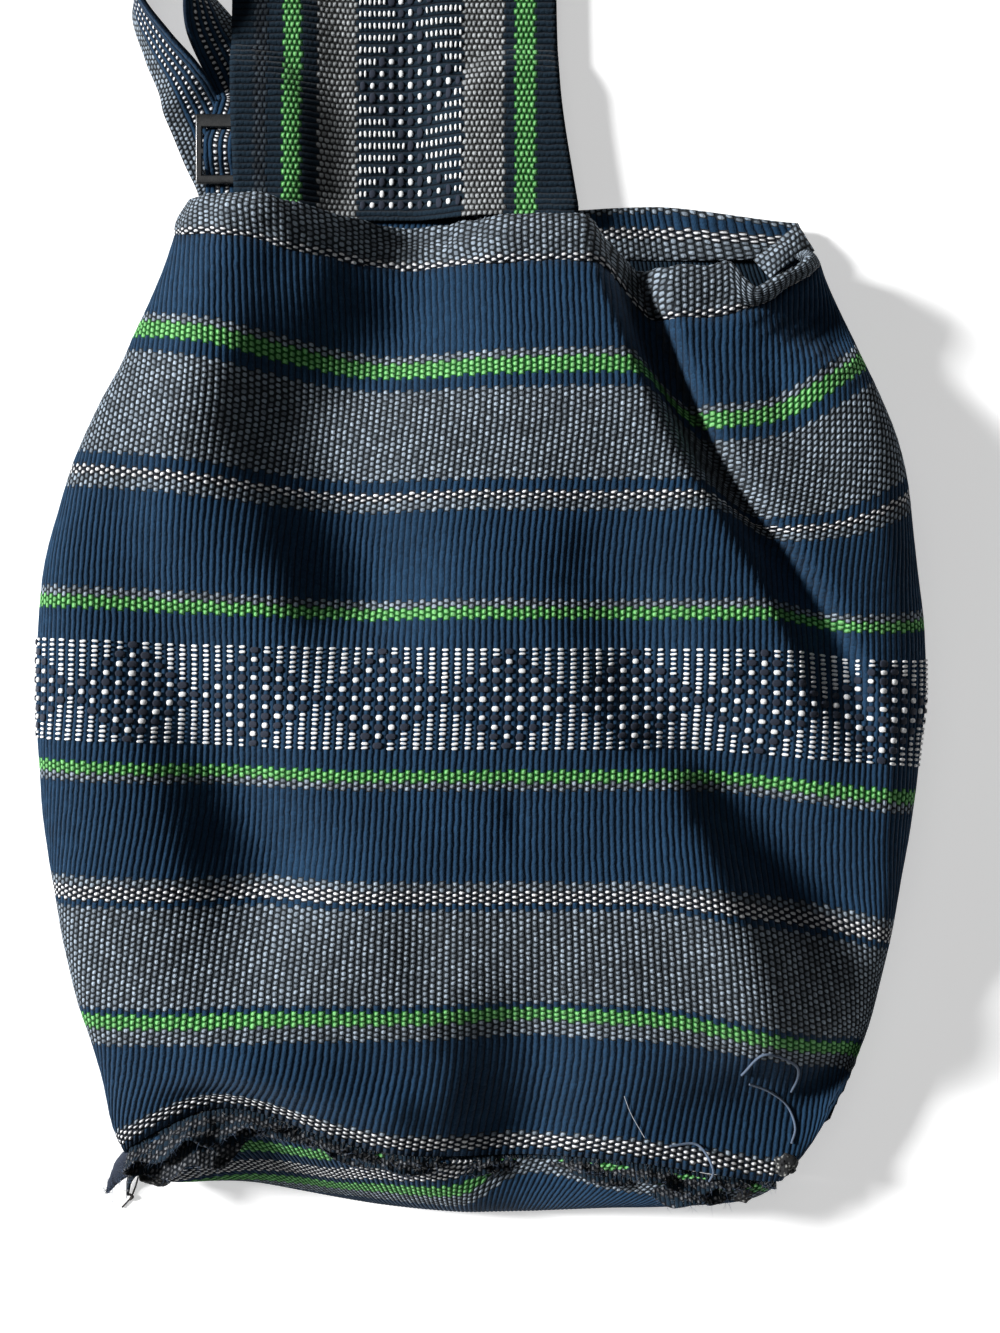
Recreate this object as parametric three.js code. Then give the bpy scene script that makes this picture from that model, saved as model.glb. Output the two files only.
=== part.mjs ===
import * as THREE from 'three';
import { mergeVertices } from 'three/addons/utils/BufferGeometryUtils.js';

// Soft woven backpack lying open on its back, in millimetres.
// X runs across the bag, Y towards its mouth, Z up from the floor that it lies on.
// A station is a place along the front cloth, measured from its middle towards the mouth.

// Cloth, hems and seams
const CLOTH = 2;
const HEM_CLOTH = 2.7;
const SEAM_GAP = 0.6;
const HEM_GAP = 1.6;
const SEAM_STATION = -193;
const HEM_STATION = 182;
const MOUTH_STATION = 204;
const BACK_HEM_START = 193;
const BACK_HEM_END = 215;

// Cross-section of the front cloth: rolled sides under a flattened arch
const ROLL_HEIGHT = 25;
const ROLL_SHARE = 0.45;
const ROLL_INSET = 12;
const ROLL_FLAT = 6;
const ARCH_SIDE_POWER = 0.72;
const ARCH_TOP_POWER = 0.55;
const ROLL_STEPS = 8;
const ARCH_STEPS = 60;
const CROWN_BLEND = 22;

// Where the sides start to pull the cloth rows up or down, as shares of the cross-section
const LEFT_PULL = { full: 0.05, none: 0.42 };
const RIGHT_PULL = { none: 0.64, full: 0.93 };

// Bag outline seen from above at its widest line, and the height of its crown
const OUTLINE = [
  { y: -226, left: -118, right: 98, crown: 22 },
  { y: -215, left: -143, right: 124, crown: 28 },
  { y: -200, left: -155, right: 138, crown: 37 },
  { y: -186, left: -160, right: 147, crown: 45 },
  { y: -160, left: -164, right: 160, crown: 57 },
  { y: -120, left: -176, right: 172, crown: 68 },
  { y: -60, left: -186, right: 182, crown: 75 },
  { y: 0, left: -190, right: 189, crown: 77 },
  { y: 60, left: -186, right: 186, crown: 75 },
  { y: 110, left: -171, right: 178, crown: 69 },
  { y: 150, left: -152, right: 162, crown: 62 },
  { y: 182, left: -138, right: 148, crown: 56 },
  { y: 216, left: -126, right: 137, crown: 50 },
];

// How far each side pulls the cloth rows towards the mouth
const SIDE_PULLS = [
  { station: -193, left: -6, right: -17 },
  { station: -150, left: -6, right: -20 },
  { station: -90, left: 0, right: -22 },
  { station: -45, left: 4, right: -14 },
  { station: 0, left: 4, right: -5 },
  { station: 30, left: 6, right: -1 },
  { station: 70, left: 12, right: 5 },
  { station: 130, left: 20, right: 8 },
  { station: 182, left: 16, right: 6 },
  { station: 204, left: 11, right: 4 },
];

// Deep fold that runs down from the mouth: its line, its depth, and the drop of the cloth right of it
const FOLD = [
  { station: -201, x: 100, depth: 0, drop: 0 },
  { station: -110, x: 150, depth: 0, drop: 0 },
  { station: -20, x: 162, depth: 3, drop: 0 },
  { station: 20, x: 154, depth: 12, drop: 3 },
  { station: 60, x: 134, depth: 19, drop: 11 },
  { station: 110, x: 105, depth: 27, drop: 22 },
  { station: 160, x: 84, depth: 30, drop: 26 },
  { station: 204, x: 70, depth: 28, drop: 24 },
];
const FOLD_VALLEY = { start: -32, floor: -9, wall: -4, lip: 8 };
const FOLD_LIP = { overhang: 0.08, rise: 0.1, end: 40 };
const FOLD_DROP = { start: -30, full: 8, fade: 20, end: 90 };

// Soft hollows in the crown of the front
const HOLLOWS = [
  { x: -30, y: 142, acrossRadius: 56, alongRadius: 52, depth: 10 },
  { x: -56, y: 50, acrossRadius: 50, alongRadius: 40, depth: 6 },
  { x: 62, y: 42, acrossRadius: 40, alongRadius: 36, depth: 5 },
  { x: -86, y: -62, acrossRadius: 46, alongRadius: 38, depth: 7 },
  { x: 28, y: -62, acrossRadius: 44, alongRadius: 38, depth: 5 },
  { x: -44, y: -163, acrossRadius: 24, alongRadius: 16, depth: 5 },
  { x: 98, y: -168, acrossRadius: 48, alongRadius: 22, depth: 13 },
];

// Ridges above zero and creases below it: the width of each, then x, y and height along its line
const CREASES = [
  { width: 21, places: [[-40, 204, -13], [-74, 112, -15], [-58, 46, -18], [-50, 18, 0]] },
  { width: 20, places: [[-92, 195, 7], [-120, 112, 8], [-126, 56, 7], [-128, 20, 0]] },
  {
    width: 17,
    places: [
      [-142, 104, 0],
      [-137, 56, -10],
      [-120, 0, -11],
      [-97, -58, -15],
      [-104, -106, -7],
      [-106, -128, 0],
    ],
  },
  {
    width: 21,
    places: [[38, 104, 0], [50, 60, -9], [74, 2, -11], [108, -38, -13], [138, -105, -14], [150, -150, -10]],
  },
  { width: 16, places: [[78, -16, 0], [84, -45, 5], [100, -100, 6], [108, -135, 0]] },
  { width: 13, places: [[-112, -150, 4], [-96, -156, 8], [-42, -172, 7]] },
  { width: 14, places: [[-20, -72, 0], [-24, -105, -5], [-24, -132, 0]] },
  { width: 25, places: [[16, -120, 0], [12, -146, -12], [8, -182, -15]] },
  { width: 9, places: [[108, 170, 0], [120, 164, 5], [150, 147, 5], [160, 140, 0]] },
];

// The bottom seam is hitched up towards the mouth near its left end, and sags a little in its middle
const HITCH = { x: -112, acrossRadius: 44, alongRadius: 27, rise: 22 };
const SAG = { x: 20, acrossRadius: 60, drop: 5 };

// Back panel corners at the bottom, and how far its lower edge bellies out between them
const BACK_CORNERS = { left: -199, right: -210 };
const BACK_BELLY = 21;
const BACK_BELLY_POWER = 0.75;

// Base panel between the bottom seam and the lower edge of the back
const BASE_GAP = 1;
const BASE_END = 0.06;
const BASE_REACH = 22;
const BASE_LANDING = 30;

// Seam allowance that is turned out along the bottom seam, with an ear at its left end
const FLANGE_WIDTH = 9;
const FLANGE_LIFT = 0.45;
const FLANGE_LEAN = { out: 0.82, up: 0.57 };
const FLANGE_START = 0.08;
const FLANGE_END = 0.89;
const FLANGE_WAVES = { count: 7, height: 2.2 };
const FLANGE_BUNCH = { share: 0.81, spread: 0.05, width: 2 };
const FLANGE_SLOPE = { across: 0.01, along: 0.6 };
const EAR_COLUMNS = 4;
const EAR_BLEND = 0.1;
const EAR_LEAN = 0.75;
const EAR_TIP = { x: -166, y: -217, z: 8, width: 3.5 };
const EAR_WAIST = 13;

// Flap that lies open beyond the mouth
const FLAP_ROOT = BACK_HEM_END + SEAM_GAP;
const FLAP_EDGES = [
  { y: 215, left: -109, right: 42 },
  { y: 270, left: -111, right: 34 },
  { y: 350, left: -110, right: 32 },
  { y: 425, left: -109, right: 30 },
];
const FLAP_END = 425;
const FLAP_CORNER = 26;

// Straps: centre line with the height of its lower edge, and the direction from the centre to one edge
const STRAP_WIDTH = 26;
const STRAP_CLOTH = 2.4;
const STRAP_ROW_STEPS = 4;
const FLOOR_CLEARANCE = 0.1;
const STRAP_ROOT = FLAP_ROOT + FLOOR_CLEARANCE;
const SLIDER_Y = 241;
const LEFT_STRAP = [
  { x: -110, y: STRAP_ROOT, z: 3.2, edgeX: -1, edgeZ: 0 },
  { x: -110, y: SLIDER_Y - 18, z: 3.2, edgeX: -1, edgeZ: 0 },
  { x: -110, y: SLIDER_Y - 10.2, z: 3, edgeX: -1, edgeZ: 0 },
  { x: -110, y: SLIDER_Y - 3, z: 9, edgeX: -1, edgeZ: 0 },
  { x: -110, y: SLIDER_Y + 3, z: 9, edgeX: -1, edgeZ: 0 },
  { x: -109, y: SLIDER_Y + 10.2, z: 3, edgeX: -1, edgeZ: 0 },
  { x: -105, y: SLIDER_Y + 24, z: 3.2, edgeX: -1, edgeZ: 0 },
  { x: -109, y: SLIDER_Y + 36, z: 2, edgeX: -1, edgeZ: 0 },
  { x: -119, y: 294, z: 0.4, edgeX: -0.85, edgeZ: 0.5 },
  { x: -125, y: 310, z: 0.2, edgeX: -0.35, edgeZ: 0.95 },
  { x: -131, y: 322, z: 0.2, edgeX: 0, edgeZ: 1 },
  { x: -146, y: 322, z: 0.2, edgeX: 0, edgeZ: 1 },
  { x: -152, y: 306, z: 0.2, edgeX: 0.25, edgeZ: 0.97 },
  { x: -146, y: 286, z: 0.2, edgeX: 0.6, edgeZ: 0.8 },
  { x: -137, y: 271, z: 0.2, edgeX: 0.85, edgeZ: 0.5 },
  { x: -130, y: 259, z: 0.1, edgeX: 1, edgeZ: 0.02 },
  { x: -121, y: 242, z: 0.1, edgeX: 1, edgeZ: 0 },
  { x: -114, y: 226, z: 0.1, edgeX: 1, edgeZ: 0 },
  { x: -111, y: 200, z: 0.1, edgeX: 1, edgeZ: 0 },
  { x: -118, y: 80, z: 0.1, edgeX: 1, edgeZ: 0 },
  { x: -132, y: -80, z: 0.1, edgeX: 1, edgeZ: 0 },
  { x: -143, y: -208, z: 0.1, edgeX: 1, edgeZ: 0 },
];
const RIGHT_STRAP = [
  { x: 18, y: STRAP_ROOT, z: 3.2, edgeX: -1, edgeZ: 0 },
  { x: 18, y: SLIDER_Y - 18, z: 3, edgeX: -1, edgeZ: 0 },
  { x: 18, y: SLIDER_Y - 10.2, z: 3, edgeX: -1, edgeZ: 0 },
  { x: 18, y: SLIDER_Y - 3, z: 9, edgeX: -1, edgeZ: 0 },
  { x: 18, y: SLIDER_Y + 3, z: 9, edgeX: -1, edgeZ: 0 },
  { x: 18, y: SLIDER_Y + 10.2, z: 3, edgeX: -1, edgeZ: 0 },
  { x: 17, y: SLIDER_Y + 30, z: 3.2, edgeX: -1, edgeZ: 0 },
  { x: 10, y: 318, z: 3.3, edgeX: -1, edgeZ: 0 },
  { x: 8.4, y: 332, z: 3.3, edgeX: -1, edgeZ: 0 },
  { x: 8, y: 334, z: 2.9, edgeX: -1, edgeZ: 0 },
  { x: 8.4, y: 332, z: 0.4, edgeX: -1, edgeZ: 0 },
  { x: 10, y: 318, z: 0.1, edgeX: -1, edgeZ: 0 },
  { x: 18, y: 260, z: 0.1, edgeX: -1, edgeZ: 0 },
  { x: 28, y: 200, z: 0.1, edgeX: -1, edgeZ: 0 },
  { x: 60, y: 80, z: 0.1, edgeX: -1, edgeZ: 0 },
  { x: 92, y: -80, z: 0.1, edgeX: -1, edgeZ: 0 },
  { x: 97, y: -203, z: 0.1, edgeX: -1, edgeZ: 0 },
];

// Straps that pass beneath the bag lift its cloth
const UNDER_BAG = 216;
const STRAP_COVER = { flat: 25, end: 50, height: 3.1 };

// What lies beneath the flap: strap runs and sliders, as lines with the height that covers them
const FLAP_COVERS = [
  { x0: -110, y0: 216, x1: -106, y1: 292, flat: 24, end: 46, height: 6.6 },
  { x0: -110, y0: 232, x1: -110, y1: 252, flat: 24, end: 52, height: 12.4 },
  { x0: 18, y0: 216, x1: 8, y1: 345, flat: 26, end: 50, height: 7.6 },
  { x0: 18, y0: 232, x1: 18, y1: 252, flat: 24, end: 52, height: 12.4 },
];

// Slider: a flat plate with two slots, a wide bar at its far end, and the strap over its middle bar
const SLIDER = { width: 34, rail: 3, nearBar: 4, middleBar: 3, farBar: 6, slot: 9 };
const SLIDER_PLATE = { thickness: 2.2, bevel: 0.5, z: 6.3 };

// Grid of the front: even columns each side of the fold, and its own columns across it
const FOLD_OFFSETS = [-38, -30, -22, -15, -9, -4, 2, 8, 15, 24, 38];
const LEFT_COLUMNS = 21;
const RIGHT_COLUMNS = 7;
const FRONT_COLUMNS = LEFT_COLUMNS + FOLD_OFFSETS.length - 1 + RIGHT_COLUMNS;
const FRONT_ROWS = 26;
const HEM_ROWS = 2;

// Grids of the other cloths
const BACK_GRID = { columns: 20, rows: 20 };
const BASE_GRID = { columns: 30, rows: 6 };
const FLANGE_GRID = { columns: 42, rows: 3 };
const FLAP_GRID = { columns: 14, rows: 20 };
const STRAP_COLUMNS = 2;

const COLOURS = { cloth: 0x1f2c44, hem: 0x6c727a, raw: 0x2a3040, strap: 0x7d838b, plastic: 0x14161a };
const CLOTH_ROUGHNESS = 0.95;
const PLASTIC_ROUGHNESS = 0.35;

const clamp = (value) => Math.min(1, Math.max(0, value));
const mix = THREE.MathUtils.lerp;
const bell = (value) => Math.exp(-value * value);

function ease(from, to, value) {
  const share = clamp((value - from) / (to - from));
  return share * share * (3 - 2 * share);
}

// Smooth reading of a table between its rows
function rowAt(rows, key, value) {
  const last = rows.length - 1;
  let index = 0;
  while (index < last - 1 && value > rows[index + 1][key]) index += 1;
  const low = rows[index];
  const high = rows[index + 1];
  const before = rows[Math.max(0, index - 1)];
  const after = rows[Math.min(last, index + 2)];
  const span = high[key] - low[key];
  const share = clamp((value - low[key]) / span);
  const result = {};
  for (const name of Object.keys(low)) {
    const lowSlope = (high[name] - before[name]) / (high[key] - before[key]);
    const highSlope = (after[name] - low[name]) / (after[key] - low[key]);
    const rise = high[name] - low[name];
    const bendIn = lowSlope * span - rise;
    const bendOut = rise - highSlope * span;
    const bend = share * (1 - share) * (bendIn * (1 - share) + bendOut * share);
    result[name] = low[name] + rise * share + bend;
  }
  return result;
}

// Share along a line of the place nearest to a point, and the distance from it
function besideLine(x, y, line) {
  const along = new THREE.Vector2(line.x1 - line.x0, line.y1 - line.y0);
  const share = clamp(((x - line.x0) * along.x + (y - line.y0) * along.y) / along.lengthSq());
  const distance = Math.hypot(x - line.x0 - along.x * share, y - line.y0 - along.y * share);
  return { share, distance };
}

// Rise or fall of the front at a point beside the creases
function creaseRelief(x, y) {
  let total = 0;
  for (const { width, places } of CREASES) {
    let deepest = 0;
    for (let i = 1; i < places.length; i += 1) {
      const [x0, y0, start] = places[i - 1];
      const [x1, y1, end] = places[i];
      const { share, distance } = besideLine(x, y, { x0, y0, x1, y1 });
      const height = mix(start, end, share) * bell(distance / width);
      if (Math.abs(height) > Math.abs(deepest)) deepest = height;
    }
    total += deepest;
  }
  return total;
}

// Height of the cloth over the lines that it covers
function coverHeight(lines, x, y) {
  let height = 0;
  for (const line of lines) {
    const rise = line.height * (1 - ease(line.flat, line.end, besideLine(x, y, line).distance));
    height = Math.max(height, rise);
  }
  return height;
}

function runsUnderBag(strap) {
  const runs = [];
  for (let i = 1; i < strap.length; i += 1) {
    const from = strap[i - 1];
    const to = strap[i];
    const goesDown = to.y < from.y && to.y < UNDER_BAG;
    if (goesDown) runs.push({ x0: from.x, y0: from.y, x1: to.x, y1: to.y, ...STRAP_COVER });
  }
  return runs;
}

const STRAP_RUNS = [...runsUnderBag(LEFT_STRAP), ...runsUnderBag(RIGHT_STRAP)];
const liftOverStraps = (x, y) => coverHeight(STRAP_RUNS, x, y);

const signedPower = (value, power) => Math.sign(value) * Math.abs(value) ** power;

// Outer line of the front cloth at a station, from the floor at the left to the floor at the right
const sections = new Map();
function crossSection(station) {
  if (sections.has(station)) return sections.get(station);
  const pulls = rowAt(SIDE_PULLS, 'station', station);
  const left = rowAt(OUTLINE, 'y', station + pulls.left).left;
  const right = rowAt(OUTLINE, 'y', station + pulls.right).right;
  const crown = rowAt(OUTLINE, 'y', station).crown;
  const roll = Math.min(ROLL_HEIGHT, crown * ROLL_SHARE);
  const middle = (left + right) / 2;
  const half = (right - left) / 2;
  const points = [{ x: left + ROLL_INSET + ROLL_FLAT, z: 0 }];
  for (let i = 0; i < ROLL_STEPS; i += 1) {
    const turn = (Math.PI / 2) * (1 - i / ROLL_STEPS);
    points.push({ x: left + ROLL_INSET * (1 - Math.cos(turn)), z: roll * (1 - Math.sin(turn)) });
  }
  for (let i = 0; i <= ARCH_STEPS; i += 1) {
    const turn = (Math.PI * i) / ARCH_STEPS;
    const x = middle - half * signedPower(Math.cos(turn), ARCH_SIDE_POWER);
    points.push({ x, z: roll + (crown - roll) * Math.sin(turn) ** ARCH_TOP_POWER });
  }
  for (let i = 1; i <= ROLL_STEPS; i += 1) {
    const turn = ((Math.PI / 2) * i) / ROLL_STEPS;
    points.push({ x: right - ROLL_INSET * (1 - Math.cos(turn)), z: roll * (1 - Math.sin(turn)) });
  }
  points.push({ x: right - ROLL_INSET - ROLL_FLAT, z: 0 });
  const arcs = [0];
  for (let i = 1; i < points.length; i += 1) {
    arcs.push(arcs[i - 1] + Math.hypot(points[i].x - points[i - 1].x, points[i].z - points[i - 1].z));
  }
  const total = arcs[arcs.length - 1];
  const fold = rowAt(FOLD, 'station', station);
  const foldIndex = points.findIndex((point, i) => i > ROLL_STEPS + ARCH_STEPS / 2 && point.x > fold.x);
  const short = points[foldIndex - 1];
  const long = points[foldIndex];
  const foldShare = (fold.x - short.x) / (long.x - short.x);
  const foldArc = mix(arcs[foldIndex - 1], arcs[foldIndex], foldShare);
  const section = { points, arcs, total, pulls, roll, fold, foldArc };
  sections.set(station, section);
  return section;
}

function pointOnSection(section, arc) {
  const { points, arcs } = section;
  let index = 1;
  while (index < arcs.length - 1 && arcs[index] < arc) index += 1;
  const share = (arc - arcs[index - 1]) / (arcs[index] - arcs[index - 1]);
  const from = points[index - 1];
  const to = points[index];
  return { x: mix(from.x, to.x, share), z: mix(from.z, to.z, share) };
}

// Move of the cloth at a distance from the fold line, right of it above zero
function foldMove(fold, distance) {
  const intoValley = ease(FOLD_VALLEY.start, FOLD_VALLEY.floor, distance);
  const outOfValley = ease(FOLD_VALLEY.wall, FOLD_VALLEY.lip, distance);
  const lip = outOfValley * (1 - ease(FOLD_VALLEY.lip, FOLD_LIP.end, distance));
  const dropped = ease(FOLD_DROP.start, FOLD_DROP.full, distance);
  const depth = Math.max(0, fold.depth);
  return {
    x: -FOLD_LIP.overhang * depth * lip,
    y: -fold.drop * dropped * (1 - ease(FOLD_DROP.fade, FOLD_DROP.end, distance)),
    z: depth * (FOLD_LIP.rise * lip - intoValley * (1 - outOfValley)),
  };
}

// Outer face of the front cloth
function frontPoint(station, arc) {
  const section = crossSection(station);
  const { pulls, roll, total, fold, foldArc } = section;
  const start = pointOnSection(section, arc);
  const share = arc / total;
  const crowned = ease(roll, roll + CROWN_BLEND, start.z);
  const move = foldMove(fold, arc - foldArc);
  const nearSeam = bell((station - SEAM_STATION) / HITCH.alongRadius);
  const hitched = HITCH.rise * bell((start.x - HITCH.x) / HITCH.acrossRadius);
  const sagged = SAG.drop * bell((start.x - SAG.x) / SAG.acrossRadius);
  const leftPull = pulls.left * (1 - ease(LEFT_PULL.full, LEFT_PULL.none, share));
  const rightPull = pulls.right * ease(RIGHT_PULL.none, RIGHT_PULL.full, share);
  const x = start.x + move.x;
  const y = station + leftPull + rightPull + move.y + (hitched - sagged) * crowned * nearSeam;
  let relief = move.z + creaseRelief(x, y);
  for (const hollow of HOLLOWS) {
    const across = bell((x - hollow.x) / hollow.acrossRadius);
    relief -= hollow.depth * across * bell((y - hollow.y) / hollow.alongRadius);
  }
  const z = start.z + relief * crowned;
  return new THREE.Vector3(x, y, z + liftOverStraps(x, y) * (1 - ease(0, ROLL_HEIGHT, z)));
}

// Place of a grid column along the cross-section
function columnArc(section, share) {
  const column = share * FRONT_COLUMNS;
  const firstOffset = FOLD_OFFSETS[0];
  const lastIndex = FOLD_OFFSETS.length - 1;
  const foldColumn = column - LEFT_COLUMNS;
  if (foldColumn <= 0) return (column / LEFT_COLUMNS) * (section.foldArc + firstOffset);
  if (foldColumn >= lastIndex) {
    const start = section.foldArc + FOLD_OFFSETS[lastIndex];
    return mix(start, section.total, (foldColumn - lastIndex) / RIGHT_COLUMNS);
  }
  const index = Math.floor(foldColumn);
  return section.foldArc + mix(FOLD_OFFSETS[index], FOLD_OFFSETS[index + 1], foldColumn - index);
}

const frontAt = (station, share) => frontPoint(station, columnArc(crossSection(station), share));

function normalAt(surface, u, v, stepU, stepV) {
  const across = surface(clamp(u + stepU), v).sub(surface(clamp(u - stepU), v));
  const along = surface(u, v + stepV).sub(surface(u, v - stepV));
  return across.cross(along).normalize();
}

// Closed wall whose upper face is the given surface and whose other face lies one thickness below it
function clothWall(columns, rows, thickness, surface) {
  const block = new THREE.BoxGeometry(1, 1, 1, columns, rows, 1);
  block.deleteAttribute('normal');
  block.deleteAttribute('uv');
  const geometry = mergeVertices(block);
  const position = geometry.getAttribute('position');
  const quarterCell = 0.25;
  for (let i = 0; i < position.count; i += 1) {
    const u = Math.round((position.getX(i) + 0.5) * columns) / columns;
    const v = Math.round((position.getY(i) + 0.5) * rows) / rows;
    const point = surface(u, v);
    if (position.getZ(i) < 0) {
      const normal = normalAt(surface, u, v, quarterCell / columns, quarterCell / rows);
      point.addScaledVector(normal, -thickness);
    }
    position.setXYZ(i, point.x, point.y, point.z);
  }
  geometry.computeVertexNormals();
  return geometry;
}

const bag = new THREE.Group();

function addPiece(name, geometry, color, roughness = CLOTH_ROUGHNESS) {
  const material = new THREE.MeshStandardMaterial({ color, roughness, metalness: 0 });
  const mesh = new THREE.Mesh(geometry, material);
  mesh.name = name;
  bag.add(mesh);
  return mesh;
}

function buildFront() {
  const cloth = (u, v) => frontAt(mix(SEAM_STATION, HEM_STATION, v), u);
  const hem = (u, v) => frontAt(mix(HEM_STATION + HEM_GAP, MOUTH_STATION, v), u);
  addPiece('front_panel', clothWall(FRONT_COLUMNS, FRONT_ROWS, CLOTH, cloth), COLOURS.cloth);
  addPiece('front_hem', clothWall(FRONT_COLUMNS, HEM_ROWS, HEM_CLOTH, hem), COLOURS.hem);
}

const SIDE_SEAM = ROLL_INSET + ROLL_FLAT + SEAM_GAP;
const backEdgeLeft = (y) => rowAt(OUTLINE, 'y', y).left + SIDE_SEAM;
const backEdgeRight = (y) => rowAt(OUTLINE, 'y', y).right - SIDE_SEAM;

// Lower edge of the back panel
function backLowerEdge(share) {
  const belly = BACK_BELLY * Math.sin(Math.PI * share) ** BACK_BELLY_POWER;
  const x = mix(backEdgeLeft(BACK_CORNERS.left), backEdgeRight(BACK_CORNERS.right), share);
  return { x, y: mix(BACK_CORNERS.left, BACK_CORNERS.right, share) - belly };
}

function buildBack() {
  const flatAt = (x, y, thickness) => new THREE.Vector3(x, y, thickness + liftOverStraps(x, y));
  const panel = (u, v) => {
    const left = backEdgeLeft(mix(BACK_CORNERS.left, BACK_HEM_START, v));
    const right = backEdgeRight(mix(BACK_CORNERS.right, BACK_HEM_START, v));
    const y = mix(backLowerEdge(u).y, BACK_HEM_START, v);
    return flatAt(mix(left, right, u), y, CLOTH);
  };
  const hem = (u, v) => {
    const y = mix(BACK_HEM_START + SEAM_GAP, BACK_HEM_END, v);
    return flatAt(mix(backEdgeLeft(y), backEdgeRight(y), u), y, HEM_CLOTH);
  };
  const { columns, rows } = BACK_GRID;
  addPiece('back_panel', clothWall(columns, rows, CLOTH, panel), COLOURS.cloth);
  addPiece('back_hem', clothWall(columns, HEM_ROWS, HEM_CLOTH, hem), COLOURS.hem);
}

const seamPoint = (share, beyond) => {
  const station = SEAM_STATION - beyond;
  return frontPoint(station, share * crossSection(station).total);
};

// Base panel leaves the bottom seam in line with the front and lands upright on the floor
function buildBase() {
  const surface = (u, v) => {
    const share = mix(BASE_END, 1 - BASE_END, u);
    const from = seamPoint(share, BASE_GAP);
    const leave = from.clone().sub(seamPoint(share, -1)).normalize().multiplyScalar(BASE_REACH);
    const edge = backLowerEdge(share);
    const to = new THREE.Vector3(edge.x, edge.y - CLOTH - BASE_GAP, liftOverStraps(edge.x, edge.y));
    const landing = new THREE.Vector3(to.x, to.y, to.z + Math.min(BASE_LANDING, from.z) / 2);
    const curve = new THREE.CubicBezierCurve3(from, from.clone().add(leave), landing, to);
    return curve.getPoint(1 - v);
  };
  const { columns, rows } = BASE_GRID;
  addPiece('base_panel', clothWall(columns, rows, CLOTH, surface), COLOURS.cloth);
}

// Seam allowance standing out from the bottom seam, its outer edge first
function buildFlange() {
  const earShare = EAR_COLUMNS / FLANGE_GRID.columns;
  const tip = new THREE.Vector3(EAR_TIP.x, EAR_TIP.y, EAR_TIP.z);
  const shareAt = (along) => mix(FLANGE_START, FLANGE_END, along);
  const besideSeam = (u, v) => seamPoint(shareAt(u), BASE_GAP - v);
  const surface = (u, v) => {
    const along = clamp((u - earShare) / (1 - earShare));
    const ear = clamp(1 - u / earShare);
    const share = shareAt(along);
    const normal = normalAt(besideSeam, along, 0, FLANGE_SLOPE.across, FLANGE_SLOPE.along);
    const root = besideSeam(along, BASE_GAP / 2).addScaledVector(normal, CLOTH + FLANGE_LIFT);
    const bunch = FLANGE_BUNCH.width * bell((share - FLANGE_BUNCH.share) / FLANGE_BUNCH.spread);
    const wave = FLANGE_WAVES.height * Math.sin(2 * Math.PI * FLANGE_WAVES.count * along);
    const beyondWaist = mix(EAR_WAIST, FLANGE_WIDTH, ease(0, EAR_BLEND, along));
    const width = mix(beyondWaist, EAR_TIP.width, ear);
    const lean = new THREE.Vector3(EAR_LEAN * ear, -FLANGE_LEAN.out, FLANGE_LEAN.up * (1 - ear));
    const point = root.lerp(tip, ear).addScaledVector(lean.normalize(), (width + bunch) * (1 - v));
    point.z += wave * (1 - v) * (1 - ear);
    return point;
  };
  const { columns, rows } = FLANGE_GRID;
  addPiece('seam_flange', clothWall(columns, rows, CLOTH, surface), COLOURS.raw);
}

function buildFlap() {
  const surface = (u, v) => {
    const y = mix(FLAP_ROOT, FLAP_END, v);
    const edges = rowAt(FLAP_EDGES, 'y', y);
    const cornerShare = clamp((y - (FLAP_END - FLAP_CORNER)) / FLAP_CORNER);
    const cornerInset = FLAP_CORNER * (1 - Math.sqrt(1 - cornerShare ** 2));
    const x = mix(edges.left + cornerInset, edges.right - cornerInset, u);
    return new THREE.Vector3(x, y, CLOTH + coverHeight(FLAP_COVERS, x, y));
  };
  const { columns, rows } = FLAP_GRID;
  addPiece('flap', clothWall(columns, rows, CLOTH, surface), COLOURS.cloth);
}

function buildStrap(name, rows) {
  const routePoints = rows.map((row) => new THREE.Vector3(row.x, row.y, row.z));
  const edgePoints = rows.map((row) => new THREE.Vector3(row.edgeX, 0, row.edgeZ));
  const route = new THREE.CatmullRomCurve3(routePoints, false, 'centripetal');
  const edges = new THREE.CatmullRomCurve3(edgePoints, false, 'centripetal');
  const surface = (u, v) => {
    const share = clamp(v);
    const along = route.getTangent(share);
    const edge = edges.getPoint(share);
    edge.addScaledVector(along, -edge.dot(along)).normalize();
    const normal = new THREE.Vector3().crossVectors(along, edge).normalize();
    const point = route.getPoint(share);
    point.z = Math.max(FLOOR_CLEARANCE, point.z);
    point.z += (STRAP_WIDTH * Math.abs(edge.z) + STRAP_CLOTH * Math.abs(normal.z)) / 2;
    point.addScaledVector(edge, STRAP_WIDTH * (0.5 - u));
    return point.addScaledVector(normal, STRAP_CLOTH / 2);
  };
  const steps = (rows.length - 1) * STRAP_ROW_STEPS;
  addPiece(name, clothWall(STRAP_COLUMNS, steps, STRAP_CLOTH, surface), COLOURS.strap);
}

function rectangle(path, x0, y0, x1, y1) {
  path.moveTo(x0, y0);
  path.lineTo(x1, y0);
  path.lineTo(x1, y1);
  path.lineTo(x0, y1);
  path.closePath();
  return path;
}

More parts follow.
